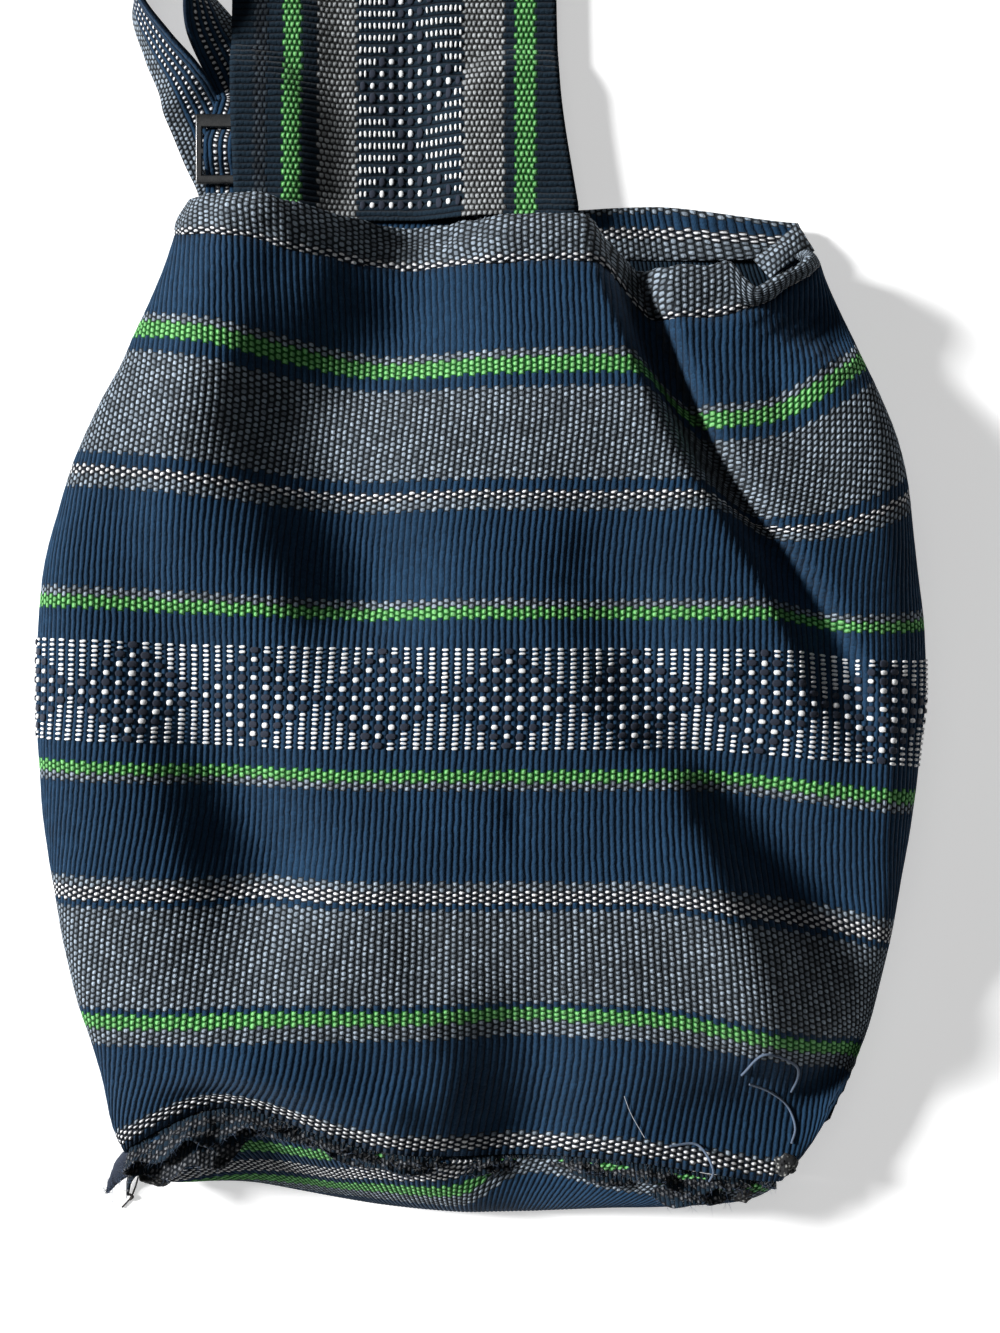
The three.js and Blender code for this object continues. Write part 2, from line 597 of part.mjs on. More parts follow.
function buildSlider(name, x) {
  const { width, rail, nearBar, middleBar, farBar, slot } = SLIDER;
  const { thickness, bevel, z } = SLIDER_PLATE;
  const half = width / 2;
  const near = -middleBar / 2 - slot - nearBar;
  const far = middleBar / 2 + slot + farBar;
  const plate = rectangle(new THREE.Shape(), -half, near, half, far);
  const slotHalf = half - rail;
  for (const start of [near + nearBar, middleBar / 2]) {
    plate.holes.push(rectangle(new THREE.Path(), -slotHalf, start, slotHalf, start + slot));
  }
  const geometry = new THREE.ExtrudeGeometry(plate, {
    depth: thickness - 2 * bevel,
    bevelThickness: bevel,
    bevelSize: bevel,
    bevelOffset: -bevel,
    bevelSegments: 1,
  });
  geometry.deleteAttribute('normal');
  geometry.deleteAttribute('uv');
  const mesh = addPiece(name, mergeVertices(geometry), COLOURS.plastic, PLASTIC_ROUGHNESS);
  mesh.geometry.computeVertexNormals();
  mesh.position.set(x, SLIDER_Y, z + bevel);
}

buildFront();
buildBack();
buildBase();
buildFlange();
buildFlap();
buildStrap('strap_left', LEFT_STRAP);
buildStrap('strap_right', RIGHT_STRAP);
buildSlider('slider_left', LEFT_STRAP[3].x);
buildSlider('slider_right', RIGHT_STRAP[3].x);

export default bag;
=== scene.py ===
import math

import bmesh
import bpy
import numpy as np
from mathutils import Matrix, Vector, noise


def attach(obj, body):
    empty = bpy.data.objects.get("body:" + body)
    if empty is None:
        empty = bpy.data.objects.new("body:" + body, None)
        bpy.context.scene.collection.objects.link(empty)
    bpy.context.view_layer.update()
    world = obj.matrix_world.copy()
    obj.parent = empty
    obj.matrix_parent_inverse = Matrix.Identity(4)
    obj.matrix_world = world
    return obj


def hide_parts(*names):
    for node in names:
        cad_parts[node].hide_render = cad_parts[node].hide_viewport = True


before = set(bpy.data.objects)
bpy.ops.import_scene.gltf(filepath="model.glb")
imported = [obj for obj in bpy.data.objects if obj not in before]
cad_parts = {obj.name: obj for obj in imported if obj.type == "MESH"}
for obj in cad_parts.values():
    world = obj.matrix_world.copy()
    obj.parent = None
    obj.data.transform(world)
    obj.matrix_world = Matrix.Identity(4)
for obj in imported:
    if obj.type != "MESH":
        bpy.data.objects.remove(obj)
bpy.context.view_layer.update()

# Sizes are in millimetres, in the frame of the solids: X across, Y towards the mouth, Z up from the floor
MM = 0.001
CLOTH = 2.0
SEAM_GAP = 0.6
SEAM_STATION = -193
HEM_STATION = 182
MOUTH_STATION = 204
BACK_HEM_START = 193
BACK_HEM_END = 215

# Weave: ribs across the cloth, and the pitch of the yarn dots along a rib
RIB = 2.67
DOT = 2.3
RIB_COUNT = 192
RIB_STEPS = 4
RIB_RELIEF = 0.42

# Walls of the pieces below their outer faces, and the lumps of hand-woven cloth: their pitch and height
PANEL_WALL = 1.6
HEM_WALL = 0.9
RAW_WALL = 1.0
STRAP_WALL = 2.0
PANEL_LUMPS = (22, 0.7)
HEM_LUMPS = (11, 1.4)
CORNER_LUMPS = (6, 0.8)
RAW_LUMPS = (5, 1.6)

chance = np.random.default_rng(7)


def table(columns, *rows):
    return dict(zip(columns.split(), np.array(rows, float).T))


# Cross-section of the front cloth
ROLL_HEIGHT = 25
ROLL_SHARE = 0.45
ROLL_INSET = 12
ROLL_FLAT = 6
ARCH_SIDE_POWER = 0.72
ARCH_TOP_POWER = 0.55
ROLL_STEPS = 16
ARCH_STEPS = 480
CROWN_BLEND = 22
LEFT_PULL = {"full": 0.05, "none": 0.42}
RIGHT_PULL = {"none": 0.64, "full": 0.93}

OUTLINE = table(
    "y left right crown",
    (-226, -118, 98, 22),
    (-215, -143, 124, 28),
    (-200, -155, 138, 37),
    (-186, -160, 147, 45),
    (-160, -164, 160, 57),
    (-120, -176, 172, 68),
    (-60, -186, 182, 75),
    (0, -190, 189, 77),
    (60, -186, 186, 75),
    (110, -171, 178, 69),
    (150, -152, 162, 62),
    (182, -138, 148, 56),
    (216, -126, 137, 50),
)
SIDE_PULLS = table(
    "station left right",
    (-193, -6, -17),
    (-150, -6, -20),
    (-90, 0, -22),
    (-45, 4, -14),
    (0, 4, -5),
    (30, 6, -1),
    (70, 12, 5),
    (130, 20, 8),
    (182, 16, 6),
    (204, 11, 4),
)
FOLD = table(
    "station x depth drop",
    (-201, 100, 0, 0),
    (-110, 150, 0, 0),
    (-20, 162, 3, 0),
    (20, 154, 12, 3),
    (60, 134, 19, 11),
    (110, 105, 27, 22),
    (160, 84, 30, 26),
    (204, 70, 28, 24),
)
FOLD_VALLEY = {"start": -32, "floor": -9, "wall": -4, "lip": 8}
FOLD_LIP = {"overhang": 0.08, "rise": 0.1, "end": 40}
FOLD_DROP = {"start": -30, "full": 8, "fade": 20, "end": 90}
HOLLOWS = table(
    "x y across along depth",
    (-30, 142, 56, 52, 10),
    (-56, 50, 50, 40, 6),
    (62, 42, 40, 36, 5),
    (-86, -62, 46, 38, 7),
    (28, -62, 44, 38, 5),
    (-44, -163, 24, 16, 5),
    (134, -172, 60, 24, 22),
    (146, 156, 24, 14, 15),
)
# Creases below zero and ridges above it: the width of each, then the places on its line with their heights
CREASES = (
    (29, ((-34, 204, -16), (-38, 158, -21), (-72, 116, -18), (-49, 46, -27), (-44, 18, 0))),
    (20, ((-104, 195, 9), (-122, 112, 9), (-128, 56, 7), (-130, 20, 0))),
    (
        25,
        (
            (-142, 104, 0),
            (-139, 56, -11),
            (-122, 0, -15),
            (-106, -38, -23),
            (-94, -72, -22),
            (-100, -106, -9),
            (-106, -128, 0),
        ),
    ),
    (
        23,
        (
            (38, 104, 0),
            (50, 60, -9),
            (70, 2, -12),
            (103, -38, -21),
            (140, -84, -20),
            (160, -125, -13),
            (166, -150, -8),
        ),
    ),
    (16, ((78, -16, 0), (84, -45, 5), (97, -82, 7), (117, -130, 7), (128, -160, 3))),
    (13, ((-112, -150, 4), (-96, -156, 8), (-42, -172, 7))),
    (6, ((10, -30, 0), (14, -46, -3), (18, -66, 0))),
    (14, ((-20, -72, 0), (-24, -105, -5), (-24, -132, 0))),
    (29, ((20, -112, 0), (19, -146, -18), (17, -182, -22))),
    (9, ((96, 164, 0), (108, 157, 5), (140, 143, 6), (158, 134, 0))),
    (7, ((114, 152, 0), (125, 128, -3), (134, 104, 0))),
)
HITCH = {"x": -112, "across": 44, "along": 27, "rise": 22}
SAG = {"x": 20, "across": 60, "drop": 5}
BACK_CORNERS = {"left": -199, "right": -210}
BACK_BELLY = 21
BACK_BELLY_POWER = 0.75
BASE_GAP = 1
SEAM_OPENING = 2.2
BASE_END = 0.06
BASE_REACH = 22
BASE_LANDING = 30
# How far the stripes of the base run up under the seam along it
BASE_SLANT = table(
    "x shift", (-85, 6), (-70, 8), (-50, 15), (-30, 17), (-8, 19), (14, 32), (60, 35), (110, 38)
)

# Flap and straps
FLAP_ROOT = BACK_HEM_END + SEAM_GAP
FLAP_EDGES = table("y left right", (215, -109, 42), (270, -111, 34), (350, -110, 32), (425, -109, 30))
FLAP_END = 425
FLAP_CORNER = 26
STRAP_WIDTH = 26
STRAP_CLOTH = 2.4
FLOOR_CLEARANCE = 0.1
STRAP_ROOT = FLAP_ROOT + FLOOR_CLEARANCE
SLIDER_Y = 241
LEFT_STRAP = table(
    "x y z edge_x edge_z",
    (-110, STRAP_ROOT, 3.2, -1, 0),
    (-110, SLIDER_Y - 18, 3.2, -1, 0),
    (-110, SLIDER_Y - 10.2, 3, -1, 0),
    (-110, SLIDER_Y - 3, 9, -1, 0),
    (-110, SLIDER_Y + 3, 9, -1, 0),
    (-109, SLIDER_Y + 10.2, 3, -1, 0),
    (-105, SLIDER_Y + 24, 3.2, -1, 0),
    (-109, SLIDER_Y + 36, 2, -1, 0),
    (-119, 294, 0.4, -0.85, 0.5),
    (-125, 310, 0.2, -0.35, 0.95),
    (-131, 322, 0.2, 0, 1),
    (-146, 322, 0.2, 0, 1),
    (-152, 306, 0.2, 0.25, 0.97),
    (-143, 286, 0.2, 0.6, 0.8),
    (-133.5, 271, 0.2, 0.85, 0.5),
    (-128, 259, 0.1, 1, 0.02),
    (-121, 242, 0.1, 1, 0),
    (-114, 226, 0.1, 1, 0),
    (-111, 200, 0.1, 1, 0),
    (-118, 80, 0.1, 1, 0),
    (-132, -80, 0.1, 1, 0),
    (-143, -208, 0.1, 1, 0),
)
RIGHT_STRAP = table(
    "x y z edge_x edge_z",
    (18, STRAP_ROOT, 3.2, -1, 0),
    (18, SLIDER_Y - 18, 3, -1, 0),
    (18, SLIDER_Y - 10.2, 3, -1, 0),
    (18, SLIDER_Y - 3, 9, -1, 0),
    (18, SLIDER_Y + 3, 9, -1, 0),
    (18, SLIDER_Y + 10.2, 3, -1, 0),
    (17, SLIDER_Y + 30, 3.2, -1, 0),
    (10, 318, 3.3, -1, 0),
    (8.4, 332, 3.3, -1, 0),
    (8, 334, 2.9, -1, 0),
    (8.4, 332, 0.4, -1, 0),
    (10, 318, 0.1, -1, 0),
    (18, 260, 0.1, -1, 0),
    (28, 200, 0.1, -1, 0),
    (60, 80, 0.1, -1, 0),
    (92, -80, 0.1, -1, 0),
    (97, -203, 0.1, -1, 0),
)
UNDER_BAG = 216
STRAP_COVER = {"flat": 25, "end": 50, "height": 3.1}
FLAP_COVERS = table(
    "x0 y0 x1 y1 flat end height",
    (-110, 216, -106, 292, 24, 46, 6.6),
    (-110, 232, -110, 252, 24, 52, 12.4),
    (18, 216, 8, 345, 26, 50, 7.6),
    (18, 232, 18, 252, 24, 52, 12.4),
)


def ease(start, end, value):
    share = np.clip((value - start) / (end - start), 0, 1)
    return share * share * (3 - 2 * share)


def bell(value):
    return np.exp(-value * value)


def mix(start, end, share):
    return start + (end - start) * share


def unit(vectors):
    return vectors / np.maximum(np.linalg.norm(vectors, axis=-1, keepdims=True), 1e-9)


def read(rows, key, name, value):
    """One column of a table, read smoothly between its rows."""
    places, levels = rows[key], rows[name]
    last = len(places) - 1
    low = np.clip(np.searchsorted(places, value) - 1, 0, last - 1)
    high = low + 1
    before = np.maximum(low - 1, 0)
    after = np.minimum(low + 2, last)
    span = places[high] - places[low]
    share = np.clip((value - places[low]) / span, 0, 1)
    low_slope = (levels[high] - levels[before]) / (places[high] - places[before])
    high_slope = (levels[after] - levels[low]) / (places[after] - places[low])
    rise = levels[high] - levels[low]
    bend = (low_slope * span - rise) * (1 - share) + (rise - high_slope * span) * share
    return levels[low] + rise * share + share * (1 - share) * bend


def smooth_line(points, steps):
    """Centripetal curve through the points, with a number of steps from each to the next."""
    points = np.array(points, float)
    padded = np.vstack([2 * points[0] - points[1], points, 2 * points[-1] - points[-2]])
    knots = np.sqrt(np.linalg.norm(np.diff(padded, axis=0), axis=-1))
    share = np.linspace(0, 1, steps + 1)[:-1, None]
    parts = []
    for i in range(len(points) - 1):
        before, start, end, after = padded[i : i + 4]
        span = knots[i + 1] or 1
        first, last = knots[i] or span, knots[i + 2] or span
        leave = ((start - before) / first - (end - before) / (first + span)) * span + end - start
        arrive = ((after - end) / last - (after - start) / (span + last)) * span + end - start
        bend = 3 * (end - start) - 2 * leave - arrive
        twist = 2 * (start - end) + leave + arrive
        parts.append(start + leave * share + bend * share**2 + twist * share**3)
    return np.vstack([*parts, points[-1:]])


def beside_line(x, y, x0, y0, x1, y1):
    """Share along a line of the place nearest to a point, and the distance from it."""
    along_x, along_y = x1 - x0, y1 - y0
    share = ((x - x0) * along_x + (y - y0) * along_y) / (along_x**2 + along_y**2)
    share = np.clip(share, 0, 1)
    return share, np.hypot(x - x0 - along_x * share, y - y0 - along_y * share)


def crease_relief(x, y):
    total = np.zeros(np.shape(x))
    for width, places in CREASES:
        deepest = np.zeros(np.shape(x))
        for (x0, y0, start), (x1, y1, end) in zip(places, places[1:]):
            share, distance = beside_line(x, y, x0, y0, x1, y1)
            height = mix(start, end, share) * bell(distance / width)
            deepest = np.where(np.abs(height) > np.abs(deepest), height, deepest)
        total += deepest
    return total


def cover_height(lines, x, y):
    """Height of the cloth over the lines that it covers."""
    height = np.zeros(np.shape(x))
    for x0, y0, x1, y1, flat, end, rise in zip(*lines.values()):
        distance = beside_line(x, y, x0, y0, x1, y1)[1]
        height = np.maximum(height, rise * (1 - ease(flat, end, distance)))
    return height


def runs_under_bag(strap):
    runs = []
    for i in range(1, len(strap["x"])):
        x0, y0, x1, y1 = strap["x"][i - 1], strap["y"][i - 1], strap["x"][i], strap["y"][i]
        if y1 < y0 and y1 < UNDER_BAG:
            runs.append((x0, y0, x1, y1, *STRAP_COVER.values()))
    return runs


STRAP_RUNS = table(
    "x0 y0 x1 y1 flat end height", *runs_under_bag(LEFT_STRAP), *runs_under_bag(RIGHT_STRAP)
)


def lift_over_straps(x, y):
    return cover_height(STRAP_RUNS, x, y)


def section(station):
    """Outer line of the front cloth, from the floor at the left to the floor at the right."""
    pulls = {side: read(SIDE_PULLS, "station", side, station) for side in ("left", "right")}
    left = read(OUTLINE, "y", "left", station + pulls["left"])
    right = read(OUTLINE, "y", "right", station + pulls["right"])
    crown = read(OUTLINE, "y", "crown", station)
    roll = min(ROLL_HEIGHT, crown * ROLL_SHARE)
    middle, half = (left + right) / 2, (right - left) / 2
    turn = np.linspace(math.pi / 2, 0, ROLL_STEPS + 1)[:-1]
    side_x = ROLL_INSET * (1 - np.cos(turn))
    side_z = roll * (1 - np.sin(turn))
    sweep = np.linspace(0, math.pi, ARCH_STEPS + 1)
    across = np.cos(sweep)
    arch_x = middle - half * np.sign(across) * np.abs(across) ** ARCH_SIDE_POWER
    arch_z = roll + (crown - roll) * np.abs(np.sin(sweep)) ** ARCH_TOP_POWER
    floor_left, floor_right = left + ROLL_INSET + ROLL_FLAT, right - ROLL_INSET - ROLL_FLAT
    x = np.concatenate([[floor_left], left + side_x, arch_x, right - side_x[::-1], [floor_right]])
    z = np.concatenate([[0], side_z, arch_z, side_z[::-1], [0]])
    arcs = np.concatenate([[0], np.cumsum(np.hypot(np.diff(x), np.diff(z)))])
    fold = {name: read(FOLD, "station", name, station) for name in ("x", "depth", "drop")}
    right_half = slice(ROLL_STEPS + ARCH_STEPS // 2 + 1, ROLL_STEPS + ARCH_STEPS + 2)
    fold["arc"] = np.interp(fold["x"], x[right_half], arcs[right_half])
    return {"x": x, "z": z, "arcs": arcs, "roll": roll, "pulls": pulls, "fold": fold}


def fold_move(fold, distance):
    """Move of the cloth at a distance from the fold line, right of it above zero."""
    into_valley = ease(FOLD_VALLEY["start"], FOLD_VALLEY["floor"], distance)
    out_of_valley = ease(FOLD_VALLEY["wall"], FOLD_VALLEY["lip"], distance)
    lip = out_of_valley * (1 - ease(FOLD_VALLEY["lip"], FOLD_LIP["end"], distance))
    dropped = ease(FOLD_DROP["start"], FOLD_DROP["full"], distance)
    depth = max(0, fold["depth"])
    return (
        -FOLD_LIP["overhang"] * depth * lip,
        -fold["drop"] * dropped * (1 - ease(FOLD_DROP["fade"], FOLD_DROP["end"], distance)),
        depth * (FOLD_LIP["rise"] * lip - into_valley * (1 - out_of_valley)),
    )


def front_row(station, shares):
    """Points on the outer face of the front cloth at a station, at shares of its cross-section."""
    line = section(station)
    arc = shares * line["arcs"][-1]
    start_x = np.interp(arc, line["arcs"], line["x"])
    start_z = np.interp(arc, line["arcs"], line["z"])
    crowned = ease(line["roll"], line["roll"] + CROWN_BLEND, start_z)
    move_x, move_y, move_z = fold_move(line["fold"], arc - line["fold"]["arc"])
    near_seam = bell((station - SEAM_STATION) / HITCH["along"])
    hitch = HITCH["rise"] * bell((start_x - HITCH["x"]) / HITCH["across"])
    hitch = hitch - SAG["drop"] * bell((start_x - SAG["x"]) / SAG["across"])
    left_pull = line["pulls"]["left"] * (1 - ease(LEFT_PULL["full"], LEFT_PULL["none"], shares))
    right_pull = line["pulls"]["right"] * ease(RIGHT_PULL["none"], RIGHT_PULL["full"], shares)
    x = start_x + move_x
    y = station + left_pull + right_pull + move_y + hitch * crowned * near_seam
    relief = move_z
    for hollow_x, hollow_y, across, along, depth in zip(*HOLLOWS.values()):
        relief = relief - depth * bell((x - hollow_x) / across) * bell((y - hollow_y) / along)
    z = start_z + (relief + crease_relief(x, y)) * crowned
    z = z + lift_over_straps(x, y) * (1 - ease(0, ROLL_HEIGHT, z))
    return np.stack([x, y, z], axis=-1)


# Ribs run straight down the middle of the front, spread a little towards its bottom, and bunch at its sides
STRAIGHT_SHARE = 0.7
RIB_SPREADS = table("station spread", (-193, 1.13), (-140, 1.1), (-90, 1.05), (-40, 1), (204, 1))
WIDEST_ARC = max(section(station)["arcs"][-1] for station in range(SEAM_STATION, MOUTH_STATION, 10))


def rib_shares(station, shares):
    """Shares of the cross-section at a station where ribs run that are evenly spaced in the flat cloth."""
    reach = WIDEST_ARC / section(station)["arcs"][-1] * read(RIB_SPREADS, "station", "spread", station)
    away = np.abs(2 * shares - 1) * reach
    left_over = np.clip((reach - away) / (reach - STRAIGHT_SHARE), 0, 1)
    bunched = 1 - (1 - STRAIGHT_SHARE) * left_over ** ((reach - STRAIGHT_SHARE) / (1 - STRAIGHT_SHARE))
    return 0.5 + np.sign(shares - 0.5) * np.where(away < STRAIGHT_SHARE, away, bunched) / 2


def ribbed_front(stations, shares):
    return np.array([front_row(station, rib_shares(station, shares)) for station in stations])


def surface_normals(points):
    return unit(np.cross(np.gradient(points, axis=1), np.gradient(points, axis=0)))


def flat_cut(points):
    """Width, length and area that a cloth laid along the points was cut to, in metres."""
    across, along = (np.linalg.norm(np.diff(points, axis=axis), axis=-1) for axis in (1, 0))
    width, length = across.sum(1).max(), along.sum(0).max()
    sides = np.diff(points, axis=1)[:-1], np.diff(points, axis=0)[:, :-1]
    area = np.linalg.norm(np.cross(*sides), axis=-1).sum()
    return (width * MM, length * MM), min(area, width * length) * MM**2


def raised(points, height):
    """The surface moved out along its normals by a height at each point."""
    return points + surface_normals(points) * height[..., None]


def rib_pitch(points, ribs):
    return np.linalg.norm(np.gradient(points, axis=1), axis=-1) / np.gradient(ribs, axis=1)


def rib_relief(ribs, pitch=RIB):
    """Height of the ribs, lower where they bunch."""
    return RIB_RELIEF * np.minimum(1, pitch / RIB) * (np.abs(np.sin(math.pi * ribs)) - 0.5)


def unevenness(points, pitch, height):
    """Gentle lumps of hand-woven cloth."""
    flat = (points / pitch).reshape(-1, 3)
    lumps = [noise.noise(place) for place in flat]
    return height * np.array(lumps).reshape(points.shape[:-1])


# Building of pieces
def smooth_mesh(name, shape):
    """A smooth mesh of the shape, which is freed."""
    mesh = bpy.data.meshes.new(name)
    shape.to_mesh(mesh)
    shape.free()
    mesh.shade_smooth()
    return mesh


def add_object(name, data, material):
    piece = bpy.data.objects.new(name, data)
    bpy.context.scene.collection.objects.link(piece)
    data.materials.append(material)
    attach(piece, "root")
    return piece


def cloth_piece(name, points, ribs, dots, thickness, material):
    """A grid laid along the points, with its weave map of ribs and dots and its wall below it."""
    rows, columns = points.shape[0] - 1, points.shape[1] - 1
    shape = bmesh.new()
    shape.loops.layers.uv.new("weave")
    bmesh.ops.create_grid(shape, x_segments=columns, y_segments=rows, size=0.5, calc_uvs=True)
    mesh = smooth_mesh(name, shape)
    flat = np.empty(len(mesh.vertices) * 3)
    mesh.vertices.foreach_get("co", flat)
    share = flat.reshape(-1, 3)
    share = (share - share.min(0)) / np.maximum(np.ptp(share, axis=0), 1e-9)
    column = np.rint(share[:, 0] * columns).astype(int)
    row = np.rint(share[:, 1] * rows).astype(int)
    above_floor = np.maximum(points, (-np.inf, -np.inf, 0))
    mesh.vertices.foreach_set("co", (above_floor[row, column] * MM).ravel())
    corners = np.empty(len(mesh.loops), int)
    mesh.loops.foreach_get("vertex_index", corners)
    weave_map = np.stack([ribs, dots], -1)[row, column][corners]
    mesh.uv_layers["weave"].data.foreach_set("uv", weave_map.ravel())
    mesh.update()
    piece = add_object(name, mesh, material)
    wall = piece.modifiers.new("wall", "SOLIDIFY")
    wall.thickness = thickness * MM
    wall.offset = -1
    return piece


def cut_upright(shape, cuts):
    """Cuts the edges that run up the whole of a shape one unit high."""
    upright = [edge for edge in shape.edges if abs(edge.verts[0].co.z - edge.verts[1].co.z) > 0.5]
    bmesh.ops.subdivide_edges(shape, edges=upright, cuts=cuts, use_grid_fill=True)


def joined_copies(name, template, placed, material):
    """One mesh of a small shape, copied to the rows of placed vertices."""
    faces = [[corner.index for corner in face.verts] for face in template.faces]
    size = len(template.verts)
    every = [[i * size + corner for corner in face] for i in range(len(placed)) for face in faces]
    mesh = bpy.data.meshes.new(name)
    mesh.from_pydata((placed * MM).reshape(-1, 3), [], every)
    mesh.shade_smooth()
    return add_object(name, mesh, material)


# Shader nodes
def put(tree, kind, inputs=None, **settings):
    made = tree.nodes.new(kind)
    for name, value in settings.items():
        setattr(made, name, value)
    for key, value in (inputs or {}).items():
        if isinstance(value, bpy.types.NodeSocket):
            tree.links.new(value, made.inputs[key])
        else:
            made.inputs[key].default_value = value
    return made


def calculate(tree, operation, *values):
    return put(tree, "ShaderNodeMath", dict(enumerate(values)), operation=operation).outputs[0]


def calculate_places(tree, operation, *values):
    return put(tree, "ShaderNodeVectorMath", dict(enumerate(values)), operation=operation).outputs[0]


def spread(tree, value, low, high, to_low, to_high, **settings):
    ends = {"Value": value, "From Min": low, "From Max": high, "To Min": to_low, "To Max": to_high}
    return put(tree, "ShaderNodeMapRange", ends, **settings).outputs[0]


def noise_at(tree, place, scale, detail):
    return put(tree, "ShaderNodeTexNoise", {"Vector": place, "Scale": scale, "Detail": detail}).outputs


def object_noise(tree, scale, detail):
    place = put(tree, "ShaderNodeTexCoord").outputs["Object"]
    return noise_at(tree, place, scale, detail)["Fac"]


def from_noise(tree, value, least, most):
    """Noise, which keeps near its middle, spread between two values."""
    return spread(tree, value, low=0.3, high=0.7, to_low=least, to_high=most)


def brightened(tree, colour, value):
    return put(tree, "ShaderNodeHueSaturation", {"Value": value, "Color": colour}).outputs[0]


def mix_colours(tree, share, first, second):
    mixed = put(tree, "ShaderNodeMix", data_type="RGBA")
    for name, value in (("Factor_Float", share), ("A_Color", first), ("B_Color", second)):
        socket = next(socket for socket in mixed.inputs if socket.identifier == name)
        tree.links.new(value, socket)
    return next(socket for socket in mixed.outputs if socket.identifier == "Result_Color")


def add_bump(tree, inputs, strength, distance, height):
    bump = put(tree, "ShaderNodeBump", {"Strength": strength, "Distance": distance * MM, "Height": height})
    tree.links.new(bump.outputs["Normal"], inputs["Normal"])


def new_material(name, roughness, sheen=0.0):
    """A material with its node tree and the inputs of its shader."""
    material = bpy.data.materials.new(name)
    material.use_nodes = True
    inputs = material.node_tree.nodes["Principled BSDF"].inputs
    inputs["Roughness"].default_value = roughness
    inputs["Sheen Weight"].default_value = sheen
    return material, material.node_tree, inputs


# Yarn in the weave: how far it strays from its rib, how fast a dot falls away from its middle, and its fibres
STRAY = {"scale": 0.45, "detail": 2.0, "reach": (0.5, 0.7, 0.0)}
DOT_FALL = 3.8
FIBRES = {"stretch": (3.0, 1.3, 1.0), "scale": 2.2, "detail": 4.0, "rise": 0.45, "dim": 0.72, "bright": 1.25}


def weave_group():
    """Yarn dots in ribs: the map's first number counts ribs and its second counts dots along a rib."""
    tree = bpy.data.node_groups.new("weave", "ShaderNodeTree")
    tree.interface.new_socket("Map", in_out="INPUT", socket_type="NodeSocketVector")
    place = tree.nodes.new("NodeGroupInput").outputs["Map"]
    stray = noise_at(tree, place, STRAY["scale"], STRAY["detail"])["Color"]
    shift = calculate_places(tree, "SUBTRACT", stray, (0.5, 0.5, 0.5))
    moved = calculate_places(tree, "MULTIPLY_ADD", shift, STRAY["reach"], place)
    across_map, along_map = put(tree, "ShaderNodeSeparateXYZ", {0: moved}).outputs[:2]
    rib = calculate(tree, "FLOOR", across_map)
    across = calculate(tree, "SUBTRACT", calculate(tree, "FRACT", across_map), 0.5)
    phase = calculate(tree, "MULTIPLY", calculate(tree, "FLOORED_MODULO", rib, 2.0), 0.5)
    stepped = calculate(tree, "ADD", along_map, phase)
    dot = calculate(tree, "FLOOR", stepped)
    along = calculate(tree, "SUBTRACT", calculate(tree, "FRACT", stepped), 0.5)
    row = calculate(tree, "SUBTRACT", calculate(tree, "ADD", dot, 0.5), phase)
    across_fall = calculate(tree, "POWER", calculate(tree, "ABSOLUTE", across), 2.0)
    along_fall = calculate(tree, "POWER", calculate(tree, "ABSOLUTE", along), 2.0)
    ridge = calculate(tree, "MULTIPLY_ADD", across_fall, -DOT_FALL, 1.0)
    hill = calculate(tree, "MULTIPLY", ridge, calculate(tree, "MULTIPLY_ADD", along_fall, -DOT_FALL, 1.0))
    number = put(tree, "ShaderNodeCombineXYZ", {0: rib, 1: dot}).outputs[0]
    luck = put(tree, "ShaderNodeTexWhiteNoise", {"Vector": number}, noise_dimensions="2D")
    stretched = calculate_places(tree, "MULTIPLY", place, FIBRES["stretch"])
    given = {
        "Row": row,
        "Rib": calculate(tree, "ADD", rib, 0.5),
        "Dot": hill,
        "Ridge": ridge,
        "Along": along_fall,
        "Chance": luck.outputs["Value"],
        "Fibre": noise_at(tree, stretched, FIBRES["scale"], FIBRES["detail"])["Fac"],
    }
    for name in given:
        tree.interface.new_socket(name, in_out="OUTPUT", socket_type="NodeSocketFloat")
    put(tree, "NodeGroupOutput", given)
    return tree


WEAVE = weave_group()


def yarn(top, gap, sunk, vary, run=0.0, flat=0.0):
    """Colours of a dot's top and the gap beside it, and how its dots sink, vary, run together and flatten."""
    return {"top": (*top, 1), "gap": (*gap, 1), "shape": (run, sunk, vary, flat)}


RIBBED = {"sunk": 0.16, "vary": 0.22, "run": 0.8}
YARNS = {
    "navy": yarn((0.0118, 0.0365, 0.076), (0.005, 0.0125, 0.026), **RIBBED),
    "grey": yarn((0.24, 0.29, 0.345), (0.017, 0.021, 0.025), sunk=0.36, vary=0.8),
    # shaded navy: the navy yarn made darker, painted shade for cloth that lies in shadow
    "shaded_navy": yarn((0.0085, 0.019, 0.031), (0.002, 0.004, 0.008), **RIBBED),
    "faint": yarn((0.03, 0.04, 0.05), (0.002, 0.004, 0.008), sunk=0.3, vary=0.9, run=0.3),
    "dull": yarn((0.34, 0.36, 0.37), (0.03, 0.03, 0.03), sunk=0.3, vary=0.6),
    "raw": yarn((0.12, 0.125, 0.135), (0.006, 0.008, 0.011), sunk=0.5, vary=0.95),
    "green": yarn((0.175, 0.47, 0.165), (0.009, 0.08, 0.012), sunk=0.32, vary=0.35),
    "white": yarn((0.74, 0.75, 0.77), (0.012, 0.016, 0.025), sunk=0.2, vary=0.3, flat=1.0),
}
DOT_EDGE = 0.4
DOT_FLATNESS = 5.8
DOT_LUCK = 0.62
WEAR = {"scale": 26.0, "detail": 3.0, "dim": 0.86, "bright": 1.12}
CLOTH_BUMP = {"strength": 0.9, "distance": 0.9}
CLOTH_SHINE = {"Specular IOR Level": 0.1, "Sheen Roughness": 0.5}


